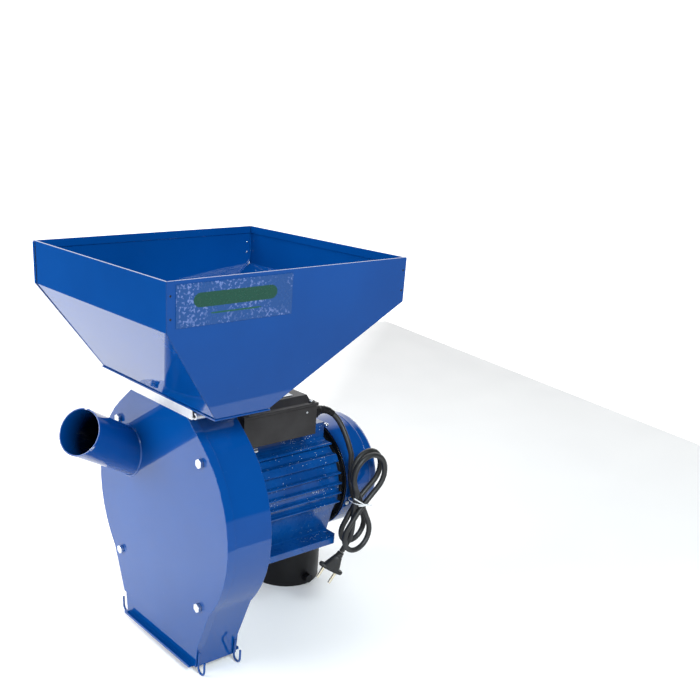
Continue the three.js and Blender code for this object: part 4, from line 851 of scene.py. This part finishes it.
# ---------------------------------------------------------------- camera, table and light
def add_camera():
    """Camera that looks along the set azimuth and elevation, rolled about its own axis."""
    azimuth = math.radians(CAMERA_AZIMUTH)
    elevation = math.radians(CAMERA_ELEVATION)
    roll = math.radians(CAMERA_ROLL)
    forward = Vector((-math.sin(azimuth) * math.cos(elevation), math.cos(azimuth) * math.cos(elevation),
                      -math.sin(elevation)))
    right = Vector((math.cos(azimuth), math.sin(azimuth), 0))
    up = right.cross(forward)
    turned_right = right * math.cos(roll) + up * math.sin(roll)
    turned_up = up * math.cos(roll) - right * math.sin(roll)
    data = bpy.data.cameras.new("camera")
    data.sensor_width = 36
    data.lens = CAMERA_LENS
    data.shift_x, data.shift_y = CAMERA_SHIFT
    camera = bpy.data.objects.new("camera", data)
    bpy.context.scene.collection.objects.link(camera)
    turn = Matrix((turned_right, turned_up, -forward)).transposed().to_4x4()
    camera.matrix_world = Matrix.Translation(at(*CAMERA_PLACE)) @ turn
    bpy.context.scene.camera = camera


def add_floor():
    """Flat table at the height that the object stands on."""
    low = cad_box[0][2]
    data = bpy.data.meshes.new("table_top")
    build = bmesh.new()
    build.faces.new([build.verts.new((x, y, low)) for x, y in TABLE_OUTLINE])
    bmesh.ops.recalc_face_normals(build, faces=build.faces)
    build.to_mesh(data)
    build.free()
    table = bpy.data.objects.new("table_top", data)
    bpy.context.scene.collection.objects.link(table)
    data.materials.append(floor_paint("floor_paint"))


def add_area_light(name, place, target, size, energy, colour):
    """Rectangular soft box that faces its target."""
    data = bpy.data.lights.new(name, "AREA")
    data.shape = "RECTANGLE"
    data.size, data.size_y = size
    data.energy = energy
    data.color = colour
    light = bpy.data.objects.new(name, data)
    bpy.context.scene.collection.objects.link(light)
    light.location = place
    light.rotation_euler = (Vector(target) - Vector(place)).to_track_quat("-Z", "Y").to_euler()


def add_world():
    """White behind the object, paler behind the camera and low on the right, dark elsewhere."""
    world = bpy.data.worlds.new("studio")
    bpy.context.scene.world = world
    world.use_nodes = True
    tree = world.node_tree
    where = tree.nodes.new("ShaderNodeTexCoord").outputs["Generated"]

    def math_node(operation, first, second):
        made = tree.nodes.new("ShaderNodeMath")
        made.operation = operation
        tree.links.new(first, made.inputs[0])
        tree.links.new(second, made.inputs[1])
        return made.outputs[0]

    def towards(direction, fade, level):
        """Light that fades in from one side of the world, up to its level."""
        facing = tree.nodes.new("ShaderNodeVectorMath")
        facing.operation = "DOT_PRODUCT"
        tree.links.new(where, facing.inputs[0])
        facing.inputs[1].default_value = direction
        made = tree.nodes.new("ShaderNodeMapRange")
        tree.links.new(facing.outputs["Value"], made.inputs["Value"])
        made.inputs["From Min"].default_value = fade[0]
        made.inputs["From Max"].default_value = fade[1]
        made.inputs["To Max"].default_value = level
        return made.outputs["Result"]

    azimuth = math.radians(CAMERA_AZIMUTH)
    ahead = Vector((-math.sin(azimuth), math.cos(azimuth), 0))
    rightward = Vector((math.cos(azimuth), math.sin(azimuth), 0))
    backdrop = towards(ahead, BACKDROP_FADE, BACKDROP_LEVEL)
    fill = towards(-ahead, FILL_FADE, FILL_LEVEL)
    below = towards(Vector((0, 0, -1)), HORIZON_FADE, 1.0)
    ground = math_node("MULTIPLY", towards(rightward, GROUND_FADE, GROUND_LEVEL), below)
    level = math_node("MAXIMUM", math_node("MAXIMUM", backdrop, fill), ground)
    lifted = tree.nodes.new("ShaderNodeMath")
    lifted.operation = "ADD"
    tree.links.new(level, lifted.inputs[0])
    lifted.inputs[1].default_value = ROOM_LEVEL
    tree.links.new(lifted.outputs[0], tree.nodes["Background"].inputs["Strength"])
    tree.nodes["Background"].inputs["Color"].default_value = (1, 1, 1, 1)


def add_light():
    """Even studio light: the world and three soft boxes."""
    add_world()
    for lamp in AREA_LIGHTS:
        add_area_light(*lamp)
    bpy.context.scene.view_settings.view_transform = "Standard"


# ---------------------------------------------------------------- the whole scene
add_camera()
add_lead(add_plug())
dress_cad_pieces()
add_strain_relief()
add_tie()
add_pipe_weld()
add_pipe_lip()
add_corner_flange()
add_inner_seams()
add_spot_welds()
add_chamber_bolt_ends()
add_box_screws()
add_fan_cover_screws()
add_floor()
add_light()
